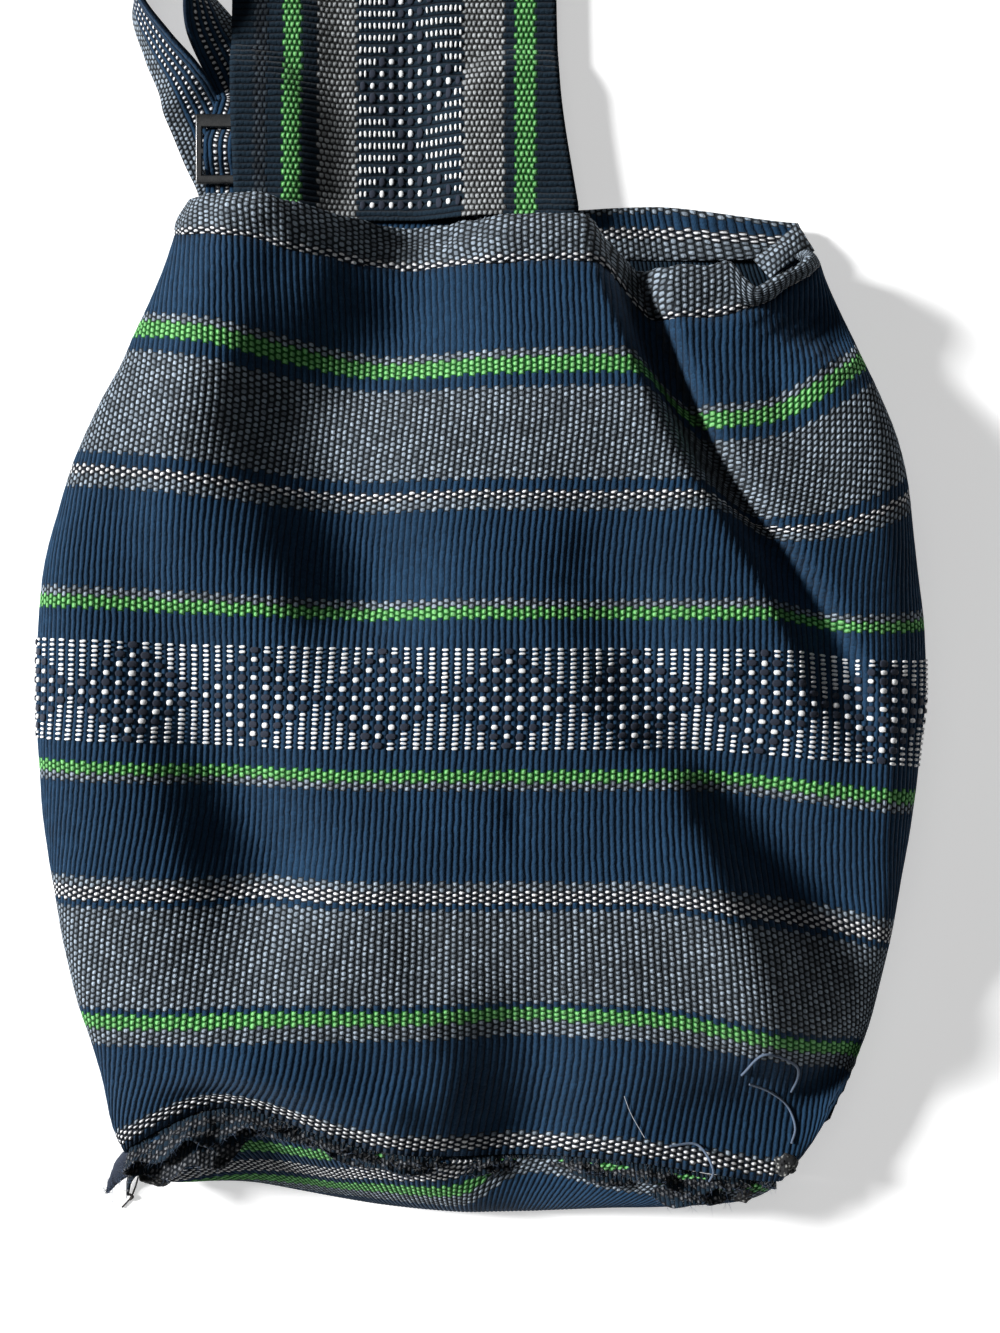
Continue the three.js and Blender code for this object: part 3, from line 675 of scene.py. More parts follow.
def stripe_ramp(tree, share, stripes, low, high, part):
    ramp = put(tree, "ShaderNodeValToRGB", {0: share})
    ramp.color_ramp.interpolation = "CONSTANT"
    stops = ramp.color_ramp.elements
    stops.remove(stops[1])
    for index, (start, name) in enumerate(stripes):
        stop = stops[0] if index == 0 else stops.new((start - low) / (high - low))
        stop.color = YARNS[name][part]
    stops[0].position = 0
    return ramp.outputs


def woven_material(name, stripes, high, unit_size=DOT, counted="Row"):
    """Ribbed weave whose yarn changes by stripes, from the first one's start up to a highest place."""
    material, tree, inputs = new_material(name, roughness=0.95, sheen=0.04)
    for key, value in CLOTH_SHINE.items():
        inputs[key].default_value = value
    low = stripes[0][0]
    weave_map = put(tree, "ShaderNodeUVMap", uv_map="weave").outputs["UV"]
    weave = put(tree, "ShaderNodeGroup", {"Map": weave_map}, node_tree=WEAVE).outputs
    share = spread(tree, weave[counted], low / unit_size, high / unit_size, 0.0, 1.0)
    top, gap, shape = (stripe_ramp(tree, share, stripes, low, high, part) for part in ("top", "gap", "shape"))
    run, sunk, vary = put(tree, "ShaderNodeSeparateColor", {0: shape["Color"]}).outputs[:3]
    rise = calculate(tree, "SUBTRACT", weave["Ridge"], weave["Dot"])
    round_hill = calculate(tree, "MULTIPLY_ADD", rise, run, weave["Dot"])
    flatness = calculate(tree, "MULTIPLY", shape["Alpha"], -DOT_FLATNESS)
    hill = calculate(tree, "MULTIPLY_ADD", weave["Along"], flatness, round_hill)
    full = calculate(tree, "ADD", sunk, DOT_EDGE)
    lit = spread(tree, hill, sunk, full, 0.0, 1.0, interpolation_type="SMOOTHSTEP")
    luck = calculate(tree, "MULTIPLY", calculate(tree, "SUBTRACT", weave["Chance"], DOT_LUCK), vary)
    varied = brightened(tree, top["Color"], calculate(tree, "ADD", luck, 1.0))
    colour = mix_colours(tree, lit, gap["Color"], varied)
    patches = object_noise(tree, WEAR["scale"], WEAR["detail"])
    worn = from_noise(tree, patches, WEAR["dim"], WEAR["bright"])
    fleck = from_noise(tree, weave["Fibre"], FIBRES["dim"], FIBRES["bright"])
    flecked = brightened(tree, colour, calculate(tree, "MULTIPLY", worn, fleck))
    tree.links.new(flecked, inputs["Base Color"])
    height = calculate(tree, "MULTIPLY_ADD", weave["Fibre"], FIBRES["rise"], hill)
    add_bump(tree, inputs, height=height, **CLOTH_BUMP)
    return material


def yarn_material(name, colour, sheen=0.1):
    """Loose or floating yarn with its own fine fibres."""
    material, tree, inputs = new_material(name, roughness=0.9, sheen=sheen)
    fibre = object_noise(tree, scale=2600.0, detail=3.0)
    value = from_noise(tree, fibre, least=0.6, most=1.15)
    tree.links.new(brightened(tree, (*colour, 1), value), inputs["Base Color"])
    add_bump(tree, inputs, strength=0.5, distance=0.2, height=fibre)
    return material


def speckle_material(name, dark, light):
    """Bunched raw cloth: light yarn ends among dark ones."""
    material, tree, inputs = new_material(name, roughness=0.95, sheen=0.05)
    place = put(tree, "ShaderNodeTexCoord").outputs["Object"]
    ends = put(tree, "ShaderNodeTexVoronoi", {"Vector": place, "Scale": 620.0}).outputs
    luck = put(tree, "ShaderNodeSeparateColor", {0: ends["Color"]}).outputs[0]
    near = spread(tree, ends["Distance"], low=0.15, high=0.55, to_low=1.0, to_high=0.0)
    light_share = spread(tree, luck, low=0.35, high=0.8, to_low=0.0, to_high=1.0)
    shown = calculate(tree, "MULTIPLY", near, light_share)
    colour = put(tree, "ShaderNodeValToRGB", {0: shown})
    for stop, tone in zip(colour.color_ramp.elements, (dark, light)):
        stop.color = (*tone, 1)
    tree.links.new(colour.outputs["Color"], inputs["Base Color"])
    add_bump(tree, inputs, strength=0.9, distance=0.6, height=near)
    return material


def plastic_material(name, colour):
    """Glossy moulded plastic with faint flow marks and handling scuffs."""
    material, tree, inputs = new_material(name, roughness=0.3)
    scuffs = object_noise(tree, scale=420.0, detail=4.0)
    dulled = spread(tree, scuffs, low=0.35, high=0.7, to_low=0.16, to_high=0.42)
    tree.links.new(dulled, inputs["Roughness"])
    value = from_noise(tree, scuffs, least=0.8, most=1.3)
    tree.links.new(brightened(tree, (*colour, 1), value), inputs["Base Color"])
    add_bump(tree, inputs, strength=0.25, distance=0.1, height=scuffs)
    return material


# Stripes, each from its start, in millimetres along the cloth
FRONT_STRIPES = (
    (-230, "navy"),
    (-191.8, "white"),
    (-186.4, "grey"),
    (-183.6, "navy"),
    (-142, "grey"),
    (-136.4, "green"),
    (-131, "navy"),
    (-127.6, "grey"),
    (-87.7, "navy"),
    (-84.9, "white"),
    (-80.7, "grey"),
    (-75.7, "navy"),
    (-39, "grey"),
    (-34.3, "green"),
    (-30.3, "navy"),
    (31.3, "green"),
    (36.6, "grey"),
    (39.6, "navy"),
    (76, "grey"),
    (81, "white"),
    (85.4, "navy"),
    (88.4, "grey"),
    (128.6, "navy"),
    (134, "green"),
    (141, "grey"),
    (145, "navy"),
)
# The flap's navy is the shaded copy of the navy yarn: painted shade for the flap lying low in the bag's
# shadow
FLAP_STRIPES = (
    (-120, "shaded_navy"),
    (-100.5, "faint"),
    (-95.9, "shaded_navy"),
    (-88.5, "green"),
    (-80.2, "shaded_navy"),
    (-73.5, "dull"),
    (-55.5, "shaded_navy"),
    (-8.7, "dull"),
    (8.9, "shaded_navy"),
    (14.2, "green"),
    (23, "shaded_navy"),
)
BASE_STRIPES = (
    (-40, "navy"),
    (4, "grey"),
    (12.5, "green"),
    (19, "navy"),
    (22, "white"),
    (31, "navy"),
    (37.5, "green"),
    (44, "navy"),
)
HEM_STRIPES = ((170, "white"), (184.8, "grey"))
BACK_HEM_STRIPES = ((-50, "grey"), (201.4, "white"), (206, "navy"), (212.5, "grey"))
# The back keeps the front's stripes, but from 145 up, inside the mouth, its navy is the shaded copy: painted
# shade of the pocket inside the mouth
BACK_STRIPES = (*FRONT_STRIPES[:-1], (145, "shaded_navy"))
# The navy rows of the raw seam edge are the shaded copy of the navy yarn: painted shade where the seam
# allowance lies under the front's lower edge
RAW_STRIPES = ((-1, "shaded_navy"), (3, "raw"), (6, "shaded_navy"), (9, "raw"), (12, "shaded_navy"), (16, "raw"))
STRAP_RIBS = (
    (0, "navy"),
    (2, "white"),
    (3, "navy"),
    (4, "white"),
    (5, "navy"),
    (6, "white"),
    (7, "navy"),
    (8, "grey"),
)
STRAP_RIB_COUNT = 12


# Front cloth, which runs on a little under its hem
FRONT_ROWS = 62
FRONT_LAP = 1.2
FRONT_COLUMNS = RIB_COUNT * RIB_STEPS


def build_front():
    shares = np.linspace(0, 1, FRONT_COLUMNS + 1)
    stations = np.linspace(SEAM_STATION, HEM_STATION + FRONT_LAP, FRONT_ROWS + 1)
    points = ribbed_front(stations, shares)
    cut = flat_cut(points)
    points = raised(points, unevenness(points, *PANEL_LUMPS))
    ribs, dots = np.meshgrid(shares * RIB_COUNT, stations / DOT)
    points = raised(points, rib_relief(ribs, rib_pitch(points, ribs)))
    material = woven_material("front weave", FRONT_STRIPES, high=230)
    front = cloth_piece("front_cloth", points, ribs, dots, PANEL_WALL, material)
    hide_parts("front_panel")
    return front, cut


# Hems: the rows of a run, the steps and radius of the fold, and how soon a run puffs out
HEM_ROWS = 12
HEM_FOLD_STEPS = 8
HEM_FOLD_RADIUS = 1.1
HEM_PUFF_POWER = 0.6


def folded_band(place, lower, upper, columns, puff):
    """A hem folded over at its upper edge: its outer run, its fold and its inner run."""
    fold_start = upper - HEM_FOLD_RADIUS
    outer = np.linspace(lower, fold_start, HEM_ROWS)
    turn = np.linspace(0, math.pi, HEM_FOLD_STEPS + 1)[1:-1]
    stations = np.concatenate([outer, fold_start + HEM_FOLD_RADIUS * np.sin(turn), outer[::-1]])
    inward = np.concatenate([0 * outer, 1 - np.cos(turn), 0 * outer + 2])
    depth = -HEM_FOLD_RADIUS * inward
    swell = puff * np.abs(np.sin(math.pi * (stations - lower) / (upper - lower))) ** HEM_PUFF_POWER
    swell[len(outer) :] *= np.linspace(1, 0, len(stations) - len(outer))
    points = place(stations, np.linspace(0, 1, columns + 1))
    facing = surface_normals(points[: len(outer)])
    normal = np.concatenate([facing, facing[[-1] * len(turn)], facing[::-1]])
    along = np.concatenate([[0], np.cumsum(np.hypot(np.diff(stations), np.diff(depth)))])
    return points + normal * (depth + swell)[:, None, None], lower + along


# Swells of the front hem: place across, width and height
HEM_SWELLS = ((-90, 22, 8), (-27, 32, -12), (12, 16, 3), (92, 14, 3))
HEM_SWELL_FULL = 0.7
HEM_PUFF = 1.6
HEM_RIB_SHARE = 0.6
HEM_GROOVE = {"station": 187.2, "width": 1.5, "depth": 2.4, "left": -64, "right": -6, "fade": 10}
HEM_TURN = {"start": 102, "end": 116, "narrowing": 0.75, "rise": 9}


def hem_points(stations, shares):
    """The front hem, swelling and sinking along the mouth, with its right end turned on edge."""
    points = ribbed_front(stations, shares)
    x = points[..., 0]
    up = np.clip((stations - HEM_STATION) / (MOUTH_STATION - HEM_STATION), 0, 1)[:, None]
    for middle, width, height in HEM_SWELLS:
        points[..., 2] += height * bell((x - middle) / width) * ease(0, HEM_SWELL_FULL, up)
    fade = HEM_GROOVE["fade"]
    beside = ease(HEM_GROOVE["left"] - fade, HEM_GROOVE["left"], x)
    beside = beside * (1 - ease(HEM_GROOVE["right"], HEM_GROOVE["right"] + fade, x))
    along = bell((stations - HEM_GROOVE["station"]) / HEM_GROOVE["width"])[:, None]
    points[..., 2] -= HEM_GROOVE["depth"] * beside * along
    turned = ease(HEM_TURN["start"], HEM_TURN["end"], x)
    lower = front_row(HEM_STATION, rib_shares(HEM_STATION, shares))
    points[..., 1] -= turned * HEM_TURN["narrowing"] * (points[..., 1] - lower[:, 1])
    points[..., 2] += turned * HEM_TURN["rise"] * up
    return points


def build_front_hem():
    points, along = folded_band(hem_points, HEM_STATION + SEAM_GAP, MOUTH_STATION, FRONT_COLUMNS, HEM_PUFF)
    points = raised(points, unevenness(points, *HEM_LUMPS))
    ribs, dots = np.meshgrid(np.linspace(0, RIB_COUNT, FRONT_COLUMNS + 1), along / DOT)
    points = raised(points, rib_relief(ribs, rib_pitch(points, ribs)) * HEM_RIB_SHARE)
    material = woven_material("hem weave", HEM_STRIPES, high=300)
    hem = cloth_piece("mouth_hem_front", points, ribs, dots, HEM_WALL, material)
    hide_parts("front_hem")
    return hem, material


# Back cloth and its hem
SIDE_SEAM = ROLL_INSET + ROLL_FLAT + SEAM_GAP


def back_edge(side, y):
    inset = SIDE_SEAM if side == "left" else -SIDE_SEAM
    return read(OUTLINE, "y", side, y) + inset


# The right corner of the bottom is tucked in
BACK_TUCK = {"start": 60, "full": 112, "rise": 8}


def back_lower_edge(share):
    belly = BACK_BELLY * np.sin(math.pi * share) ** BACK_BELLY_POWER
    left, right = BACK_CORNERS["left"], BACK_CORNERS["right"]
    x = mix(back_edge("left", left), back_edge("right", right), share)
    tuck = BACK_TUCK["rise"] * ease(BACK_TUCK["start"], BACK_TUCK["full"], x)
    return x, mix(left, right, share) - belly + tuck


def on_back(x, y, thickness):
    return np.stack([x, y, thickness + lift_over_straps(x, y)], axis=-1)


# The back runs on a little inside its hem
BACK_LAP = 5
BACK_RIBS = 128
BACK_ROWS = 90


def build_back():
    top = BACK_HEM_START + BACK_LAP
    share, along = np.meshgrid(np.linspace(0, 1, BACK_RIBS * 2 + 1), np.linspace(0, 1, BACK_ROWS + 1))
    left = back_edge("left", mix(BACK_CORNERS["left"], top, along))
    right = back_edge("right", mix(BACK_CORNERS["right"], top, along))
    y = mix(back_lower_edge(share)[1], top, along)
    points = on_back(mix(left, right, share), y, CLOTH)
    material = woven_material("back weave", BACK_STRIPES, high=230)
    back = cloth_piece("back_cloth", points, share * BACK_RIBS, y / DOT, PANEL_WALL, material)
    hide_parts("back_panel")
    return back, flat_cut(points)


# The back hem flares out at its right end and bows a little towards the flap
BACK_HEM = {"columns": 240, "ribs": 92, "height": 2.7, "lowest": 1.0, "puff": 0.6}
BACK_HEM_FLARE = {"start": 0.8, "reach": 20, "cut": 6, "rise": 5}
BACK_HEM_BOW = {"x": 80, "across": 30, "reach": 3}


def back_hem_points(stations, shares):
    share, y = np.meshgrid(shares, stations)
    x = mix(back_edge("left", y), back_edge("right", y), share)
    flare = ease(BACK_HEM_FLARE["start"], 1, share)
    up = np.clip((y - BACK_HEM_START) / (BACK_HEM_END - BACK_HEM_START), 0, 1)
    bow = BACK_HEM_BOW["reach"] * bell((x - BACK_HEM_BOW["x"]) / BACK_HEM_BOW["across"])
    moved = y + (bow - BACK_HEM_FLARE["cut"] * flare) * up
    points = on_back(x + BACK_HEM_FLARE["reach"] * flare, moved, BACK_HEM["height"])
    points[..., 2] += BACK_HEM_FLARE["rise"] * flare
    return points


def build_back_hem():
    lower, columns = BACK_HEM_START + SEAM_GAP, BACK_HEM["columns"]
    points, along = folded_band(back_hem_points, lower, BACK_HEM_END, columns, BACK_HEM["puff"])
    points[..., 2] = np.maximum(points[..., 2], BACK_HEM["lowest"])
    ribs, dots = np.meshgrid(np.linspace(0, BACK_HEM["ribs"], columns + 1), along / DOT)
    material = woven_material("back hem weave", BACK_HEM_STRIPES, high=250)
    hem = cloth_piece("mouth_hem_back", points, ribs, dots, HEM_WALL, material)
    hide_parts("back_hem")
    return hem


# Corner of the mouth, where the hem turns from the back round to the front: its four corners, then its cloth
MOUTH_CORNER = np.array([[[119, 192, 12], [125, 181, 24]], [[139, 209, 9], [146, 196, 12]]], float)
MOUTH_CORNER_BULGE = 5
MOUTH_CORNER_STEPS = 28
MOUTH_CORNER_CLOTH = {"across": 14, "along": 24, "first_dot": 4}


def build_mouth_corner(material):
    share = np.linspace(0, 1, MOUTH_CORNER_STEPS + 1)
    u, v = np.meshgrid(share, share)
    low = mix(MOUTH_CORNER[0, 0], MOUTH_CORNER[0, 1], u[..., None])
    high = mix(MOUTH_CORNER[1, 0], MOUTH_CORNER[1, 1], u[..., None])
    points = mix(low, high, v[..., None])
    points[..., 2] += MOUTH_CORNER_BULGE * np.sqrt(np.sin(math.pi * u) * np.sin(math.pi * v))
    points = raised(points, unevenness(points, *CORNER_LUMPS))
    ribs = u * MOUTH_CORNER_CLOTH["across"] / RIB
    dots = (HEM_STATION + v * MOUTH_CORNER_CLOTH["along"]) / DOT + MOUTH_CORNER_CLOTH["first_dot"]
    return cloth_piece("mouth_corner", points, ribs, dots, HEM_WALL, material)


# Base, from the bottom seam down to the lower edge of the back
BASE_RIBS = 124
BASE_ROWS = 26


def build_base():
    columns = BASE_RIBS * RIB_STEPS
    shares = np.linspace(BASE_END, 1 - BASE_END, columns + 1)
    start = front_row(SEAM_STATION - SEAM_OPENING, shares)
    leave = unit(start - front_row(SEAM_STATION + 1, shares)) * BASE_REACH
    edge_x, edge_y = back_lower_edge(shares)
    lift = lift_over_straps(edge_x, edge_y)
    end = np.stack([edge_x, edge_y - CLOTH - BASE_GAP, lift], -1)
    landing = end.copy()
    landing[:, 2] += np.minimum(BASE_LANDING, start[:, 2]) / 2
    t = np.linspace(1, 0, BASE_ROWS + 1)[:, None, None]
    first_half = (1 - t) ** 3 * start + 3 * t * (1 - t) ** 2 * (start + leave)
    points = first_half + 3 * t**2 * (1 - t) * landing + t**3 * end
    along = np.linalg.norm(np.diff(points, axis=0), axis=-1)
    along = np.concatenate([np.zeros((1, columns + 1)), np.cumsum(along, axis=0)])
    ribs = np.tile(np.linspace(0, BASE_RIBS, columns + 1), (BASE_ROWS + 1, 1))
    cut = flat_cut(points)
    dots = (along - read(BASE_SLANT, "x", "shift", points[..., 0])) / DOT
    points = raised(points, rib_relief(ribs, rib_pitch(points, ribs)))
    material = woven_material("base weave", BASE_STRIPES, high=80)
    base = cloth_piece("base_cloth", points, ribs, dots, PANEL_WALL, material)
    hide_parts("base_panel")
    return base, cut


# Seam allowance that comes out along the bottom seam: two raw layers, the upper one shorter and lifted
FLANGE_START = 0.08
FLANGE_END = 0.89
FLANGE_ROWS = 14
FLANGE_COLUMNS = 360
FLANGE_EDGE = SEAM_STATION - 0.4
FLANGE_SINK = CLOTH * 0.9
FLANGE_SLOPE = {"across": 0.008, "along": 0.6}
FLANGE_WIDTHS = table(
    "x width",
    (-150, 14),
    (-125, 21),
    (-108, 19),
    (-97, 12),
    (-81, 6),
    (-70, 6.5),
    (-62, 8.5),
    (-34, 7),
    (-6, 6.5),
    (30, 7),
    (62, 10),
    (86, 14),
    (104, 9),
    (120, 3),
)
FLANGE_LAYERS = {
    "seam_edge_upper": {"reach": 0.72, "leave": 0.35, "turn": 0.7, "waves": 9, "phase": 0.0},
    "seam_edge_lower": {"reach": 1.1, "leave": -0.15, "turn": 0.5, "waves": 7, "phase": 1.1},
}
FLANGE_WAVE = {"rise": 1.3, "turn": 0.25, "width": 0.12, "width_waves": 4}


def flange_layer(reach, leave, turn, waves, phase):
    """One layer of the seam allowance, its outer edge first, with its ribs and the depth of its rows."""
    along = np.linspace(0, 1, FLANGE_COLUMNS + 1)
    share = mix(FLANGE_START, FLANGE_END, along)
    step, slope = FLANGE_SLOPE["across"], FLANGE_SLOPE["along"]
    across = front_row(FLANGE_EDGE, share + step) - front_row(FLANGE_EDGE, share - step)
    onward = front_row(FLANGE_EDGE + slope, share) - front_row(FLANGE_EDGE - slope, share)
    root = front_row(FLANGE_EDGE, share) - unit(np.cross(across, onward)) * FLANGE_SINK
    wave = np.sin(2 * math.pi * waves * along + phase)
    width_wave = np.sin(2 * math.pi * (waves + FLANGE_WAVE["width_waves"]) * along + phase)
    width = read(FLANGE_WIDTHS, "x", "width", root[:, 0]) * reach * (1 + FLANGE_WAVE["width"] * width_wave)
    out = np.linspace(0, 1, FLANGE_ROWS + 1)
    angle = (leave + turn * out)[:, None] + FLANGE_WAVE["turn"] * wave
    step_out = width / FLANGE_ROWS
    y = root[:, 1] - np.cumsum(np.cos(angle) * step_out, axis=0)
    z = root[:, 2] + np.cumsum(np.sin(angle) * step_out, axis=0) + FLANGE_WAVE["rise"] * out[:, None] * wave
    points = np.stack([np.tile(root[:, 0], (FLANGE_ROWS + 1, 1)), y, z], -1)[::-1]
    return points, np.tile(share * RIB_COUNT, (FLANGE_ROWS + 1, 1)), width * out[::-1, None]


def build_flange():
    material = woven_material("raw edge weave", RAW_STRIPES, high=20)
    layers = []
    for name, form in FLANGE_LAYERS.items():
        points, ribs, depth = flange_layer(**form)
        points = raised(points, unevenness(points, *RAW_LUMPS))
        layer = cloth_piece(name, points, ribs, depth / DOT, RAW_WALL, material)
        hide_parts("seam_flange")
        layers.append((layer, points))
    return layers


# Ear at the left end of the seam allowance: a twisted tail with its width along its line
EAR = table(
    "x y z width",
    (-116, -194, 20, 12),
    (-134, -197, 14, 15),
    (-148, -201, 10, 13),
    (-158, -207.5, 8, 9),
    (-163.5, -214.5, 6, 5),
    (-167, -220.5, 4.5, 0.8),
)
EAR_ROWS = 40
EAR_LINE_STEPS = 12
EAR_THICKNESS = 0.42
EAR_LUMPS = {"height": 0.3, "around": 2, "along": 1 / 6}


def build_ear(material):
    """A tapering roll of raw cloth along the ear's line."""
    shape = bmesh.new()
    bmesh.ops.create_cone(shape, cap_ends=True, segments=18, radius1=1, radius2=1, depth=1)
    cut_upright(shape, EAR_ROWS - 1)
    rows = smooth_line(np.stack(list(EAR.values()), -1), EAR_LINE_STEPS)
    line, width = rows[:, :3], rows[:, 3]
    way = unit(np.gradient(line, axis=0))
    side = unit(np.cross(way, [0, 0, 1.0]))
    up = np.cross(side, way)
    for corner in shape.verts:
        row = round((corner.co.z + 0.5) * (len(line) - 1))
        around = corner.co.xy * EAR_LUMPS["around"]
        lump = 1 + EAR_LUMPS["height"] * noise.noise((*around, row * EAR_LUMPS["along"]))
        offset = side[row] * corner.co.x + up[row] * corner.co.y * EAR_THICKNESS
        corner.co = Vector(line[row] + offset * width[row] / 2 * lump) * MM
    bmesh.ops.recalc_face_normals(shape, faces=shape.faces[:])
    ear = add_object("seam_ear", smooth_mesh("seam_ear", shape), material)
    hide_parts("seam_flange")
    return ear, line


# Knots of raw cloth at the ends of the bottom seam: middle and half sizes
NUBS = {
    "seam_nub_left": ((-143, -209, 16), (8.5, 4.6, 5)),
    "seam_nub_right": ((112, -212.5, 25), (5.8, 5.6, 5.5)),
    "seam_bunch_right": ((129.5, -201, 27), (6.5, 6, 6)),
}
NUB_LUMPS = {"broad": 0.35, "broad_scale": 1.7, "fine": 0.12, "fine_scale": 6}


def build_nub(name, middle, size, material):
    shape = bmesh.new()
    bmesh.ops.create_icosphere(shape, subdivisions=4, radius=1)
    middle = Vector(middle)
    for corner in shape.verts:
        broad = NUB_LUMPS["broad"] * noise.noise(corner.co * NUB_LUMPS["broad_scale"] + middle)
        fine = NUB_LUMPS["fine"] * noise.noise(corner.co * NUB_LUMPS["fine_scale"])
        corner.co = (middle + Vector(np.multiply(size, corner.co) * (1 + broad + fine))) * MM
    return add_object(name, smooth_mesh(name, shape), material)


# The flap is sewn on over the edge of the back hem
FLAP_LAP = {"reach": 5, "rise": 3.4, "fade": 9}
FLAP_ROWS = 78 * RIB_STEPS
FLAP_COLUMNS = 60


def flap_height(x, y):
    lap = 1 - ease(FLAP_ROOT - FLAP_LAP["reach"], FLAP_ROOT + FLAP_LAP["fade"], y)
    return CLOTH + FLAP_LAP["rise"] * lap + cover_height(FLAP_COVERS, x, y)


def build_flap():
    y = np.linspace(FLAP_ROOT - FLAP_LAP["reach"], FLAP_END, FLAP_ROWS + 1)
    left, right = (read(FLAP_EDGES, "y", side, y) for side in ("left", "right"))
    corner = np.clip((y - (FLAP_END - FLAP_CORNER)) / FLAP_CORNER, 0, 1)
    inset = FLAP_CORNER * (1 - np.sqrt(1 - corner**2))
    share, along = np.meshgrid(np.linspace(0, 1, FLAP_COLUMNS + 1), y)
    x = mix((left + inset)[:, None], (right - inset)[:, None], share)
    points = np.stack([x, along, flap_height(x, along)], -1)
    ribs = (along - FLAP_ROOT) / RIB
    cut = flat_cut(points)
    points = raised(points, rib_relief(ribs))
    material = woven_material("flap weave", FLAP_STRIPES, high=60)
    flap = cloth_piece("flap_cloth", points, ribs, x / DOT, PANEL_WALL, material)
    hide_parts("flap")
    return flap, cut


# Straps and sliders
STRAP_STEPS = 10


def build_strap(name, node, rows, material):
    route = smooth_line(np.stack([rows["x"], rows["y"], rows["z"]], -1), STRAP_STEPS)
    edge = smooth_line(np.stack([rows["edge_x"], 0 * rows["x"], rows["edge_z"]], -1), STRAP_STEPS)
    along = unit(np.gradient(route, axis=0))
    edge = unit(edge - along * np.sum(edge * along, axis=-1, keepdims=True))
    normal = unit(np.cross(along, edge))
    route[:, 2] = np.maximum(FLOOR_CLEARANCE, route[:, 2])
    route[:, 2] += (STRAP_WIDTH * np.abs(edge[:, 2]) + STRAP_CLOTH * np.abs(normal[:, 2])) / 2
    share = np.linspace(0, 1, STRAP_RIB_COUNT * RIB_STEPS + 1)
    across = STRAP_WIDTH * (0.5 - share)
    points = route[:, None] + edge[:, None] * across[None, :, None] + normal[:, None] * STRAP_CLOTH / 2
    length = np.concatenate([[0], np.cumsum(np.linalg.norm(np.diff(route, axis=0), axis=-1))])
    ribs, dots = np.meshgrid(share * STRAP_RIB_COUNT, length / DOT)
    strap = cloth_piece(name, points, ribs, dots, STRAP_WALL, material)
    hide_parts(node)
    return strap, flat_cut(points)


SLIDER = {"width": 34, "rail": 3, "near_bar": 4, "middle_bar": 3, "far_bar": 6, "slot": 9}
SLIDER_PLATE = {"thickness": 2.2, "bevel": 0.7, "z": 6.3}
# The row of a strap's table at which it passes over its slider
SLIDER_ROW = 3


def build_slider(name, node, x, material):
    """A flat plate with two slots, its edges rounded."""
    half, middle = SLIDER["width"] / 2, SLIDER["middle_bar"] / 2
    slot_end = middle + SLIDER["slot"]
    columns = (-half, -half + SLIDER["rail"], half - SLIDER["rail"], half)
    near, far = -slot_end - SLIDER["near_bar"], slot_end + SLIDER["far_bar"]
    rows = (near, -slot_end, -middle, middle, slot_end, far)
    shape = bmesh.new()
    last_column, last_row = len(columns) - 1, len(rows) - 1
    bmesh.ops.create_grid(shape, x_segments=last_column, y_segments=last_row, size=0.5)
    for corner in shape.verts:
        column = round((corner.co.x + 0.5) * last_column)
        row = round((corner.co.y + 0.5) * last_row)
        corner.co = Vector((columns[column] + x, rows[row] + SLIDER_Y, SLIDER_PLATE["z"])) * MM
    slots = [face for face in shape.faces if is_slot(face.calc_center_median() / MM, x, middle, slot_end)]
    bmesh.ops.delete(shape, geom=slots, context="FACES")
    plate = bmesh.ops.extrude_face_region(shape, geom=shape.faces[:])
    lifted = [item for item in plate["geom"] if isinstance(item, bmesh.types.BMVert)]
    bmesh.ops.translate(shape, verts=lifted, vec=(0, 0, SLIDER_PLATE["thickness"] * MM))
    bmesh.ops.recalc_face_normals(shape, faces=shape.faces[:])
    sharp = [edge for edge in shape.edges if edge.calc_face_angle(0) > math.pi / 4]
    offset = SLIDER_PLATE["bevel"] * MM
    bmesh.ops.bevel(shape, geom=sharp, offset=offset, affect="EDGES", segments=3, profile=0.5, material=-1)
    slider = add_object(name, smooth_mesh(name, shape), material)
    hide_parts(node)


def is_slot(place, x, middle, slot_end):
    return abs(place.x - x) < 1 and middle < abs(place.y - SLIDER_Y) < slot_end


# Brocade: white dashes, and diamonds of white blocks and dark pads that repeat every ten columns
BROCADE_ROWS = 11
BROCADE_REPEAT = 10
BROCADE_HALF = 21
BROCADE_CENTRE_X = 9.2
FLOAT_RISE = 0.5
FLOAT_LOWEST = 4
FLOAT_ROUNDNESS = 0.7
FLOAT_STRAY = 0.2
FLOAT_TURN = 0.12
FLOAT_SMALLEST = 0.85
FLOAT_LARGEST = 1.12
DASH, BLOCK, PAD = range(3)
FLOAT_SIZES = table("across along thick", (1.45, 0.6, 0.5), (1.5, 1.15, 0.75), (2.1, 1.45, 0.5))
DASH_APART = 0.25
FLAP_BROCADE = {"left": -55.5, "right": -8.7, "pitch": 5.35, "centre": 218, "start": 2, "end": 3}


def brocade_marks(columns):
    """Column, place across the band in rows, and kind of each float of the chart."""
    marks = []
    for column in columns:
        away = abs((column + BROCADE_REPEAT // 2) % BROCADE_REPEAT - BROCADE_REPEAT // 2)
        for row in range(BROCADE_ROWS):
            if row < away or row > BROCADE_ROWS - 1 - away:
                marks += [(column, row - DASH_APART, DASH), (column, row + DASH_APART, DASH)]
            else:
                marks.append((column, row, BLOCK if (row - away) % 2 else PAD))
    return np.array(marks, float)


def float_template():
    shape = bmesh.new()
    bmesh.ops.create_uvsphere(shape, u_segments=8, v_segments=5, radius=1)
    for corner in shape.verts:
        corner.co = [math.copysign(abs(value) ** FLOAT_ROUNDNESS, value) for value in corner.co]
    return shape


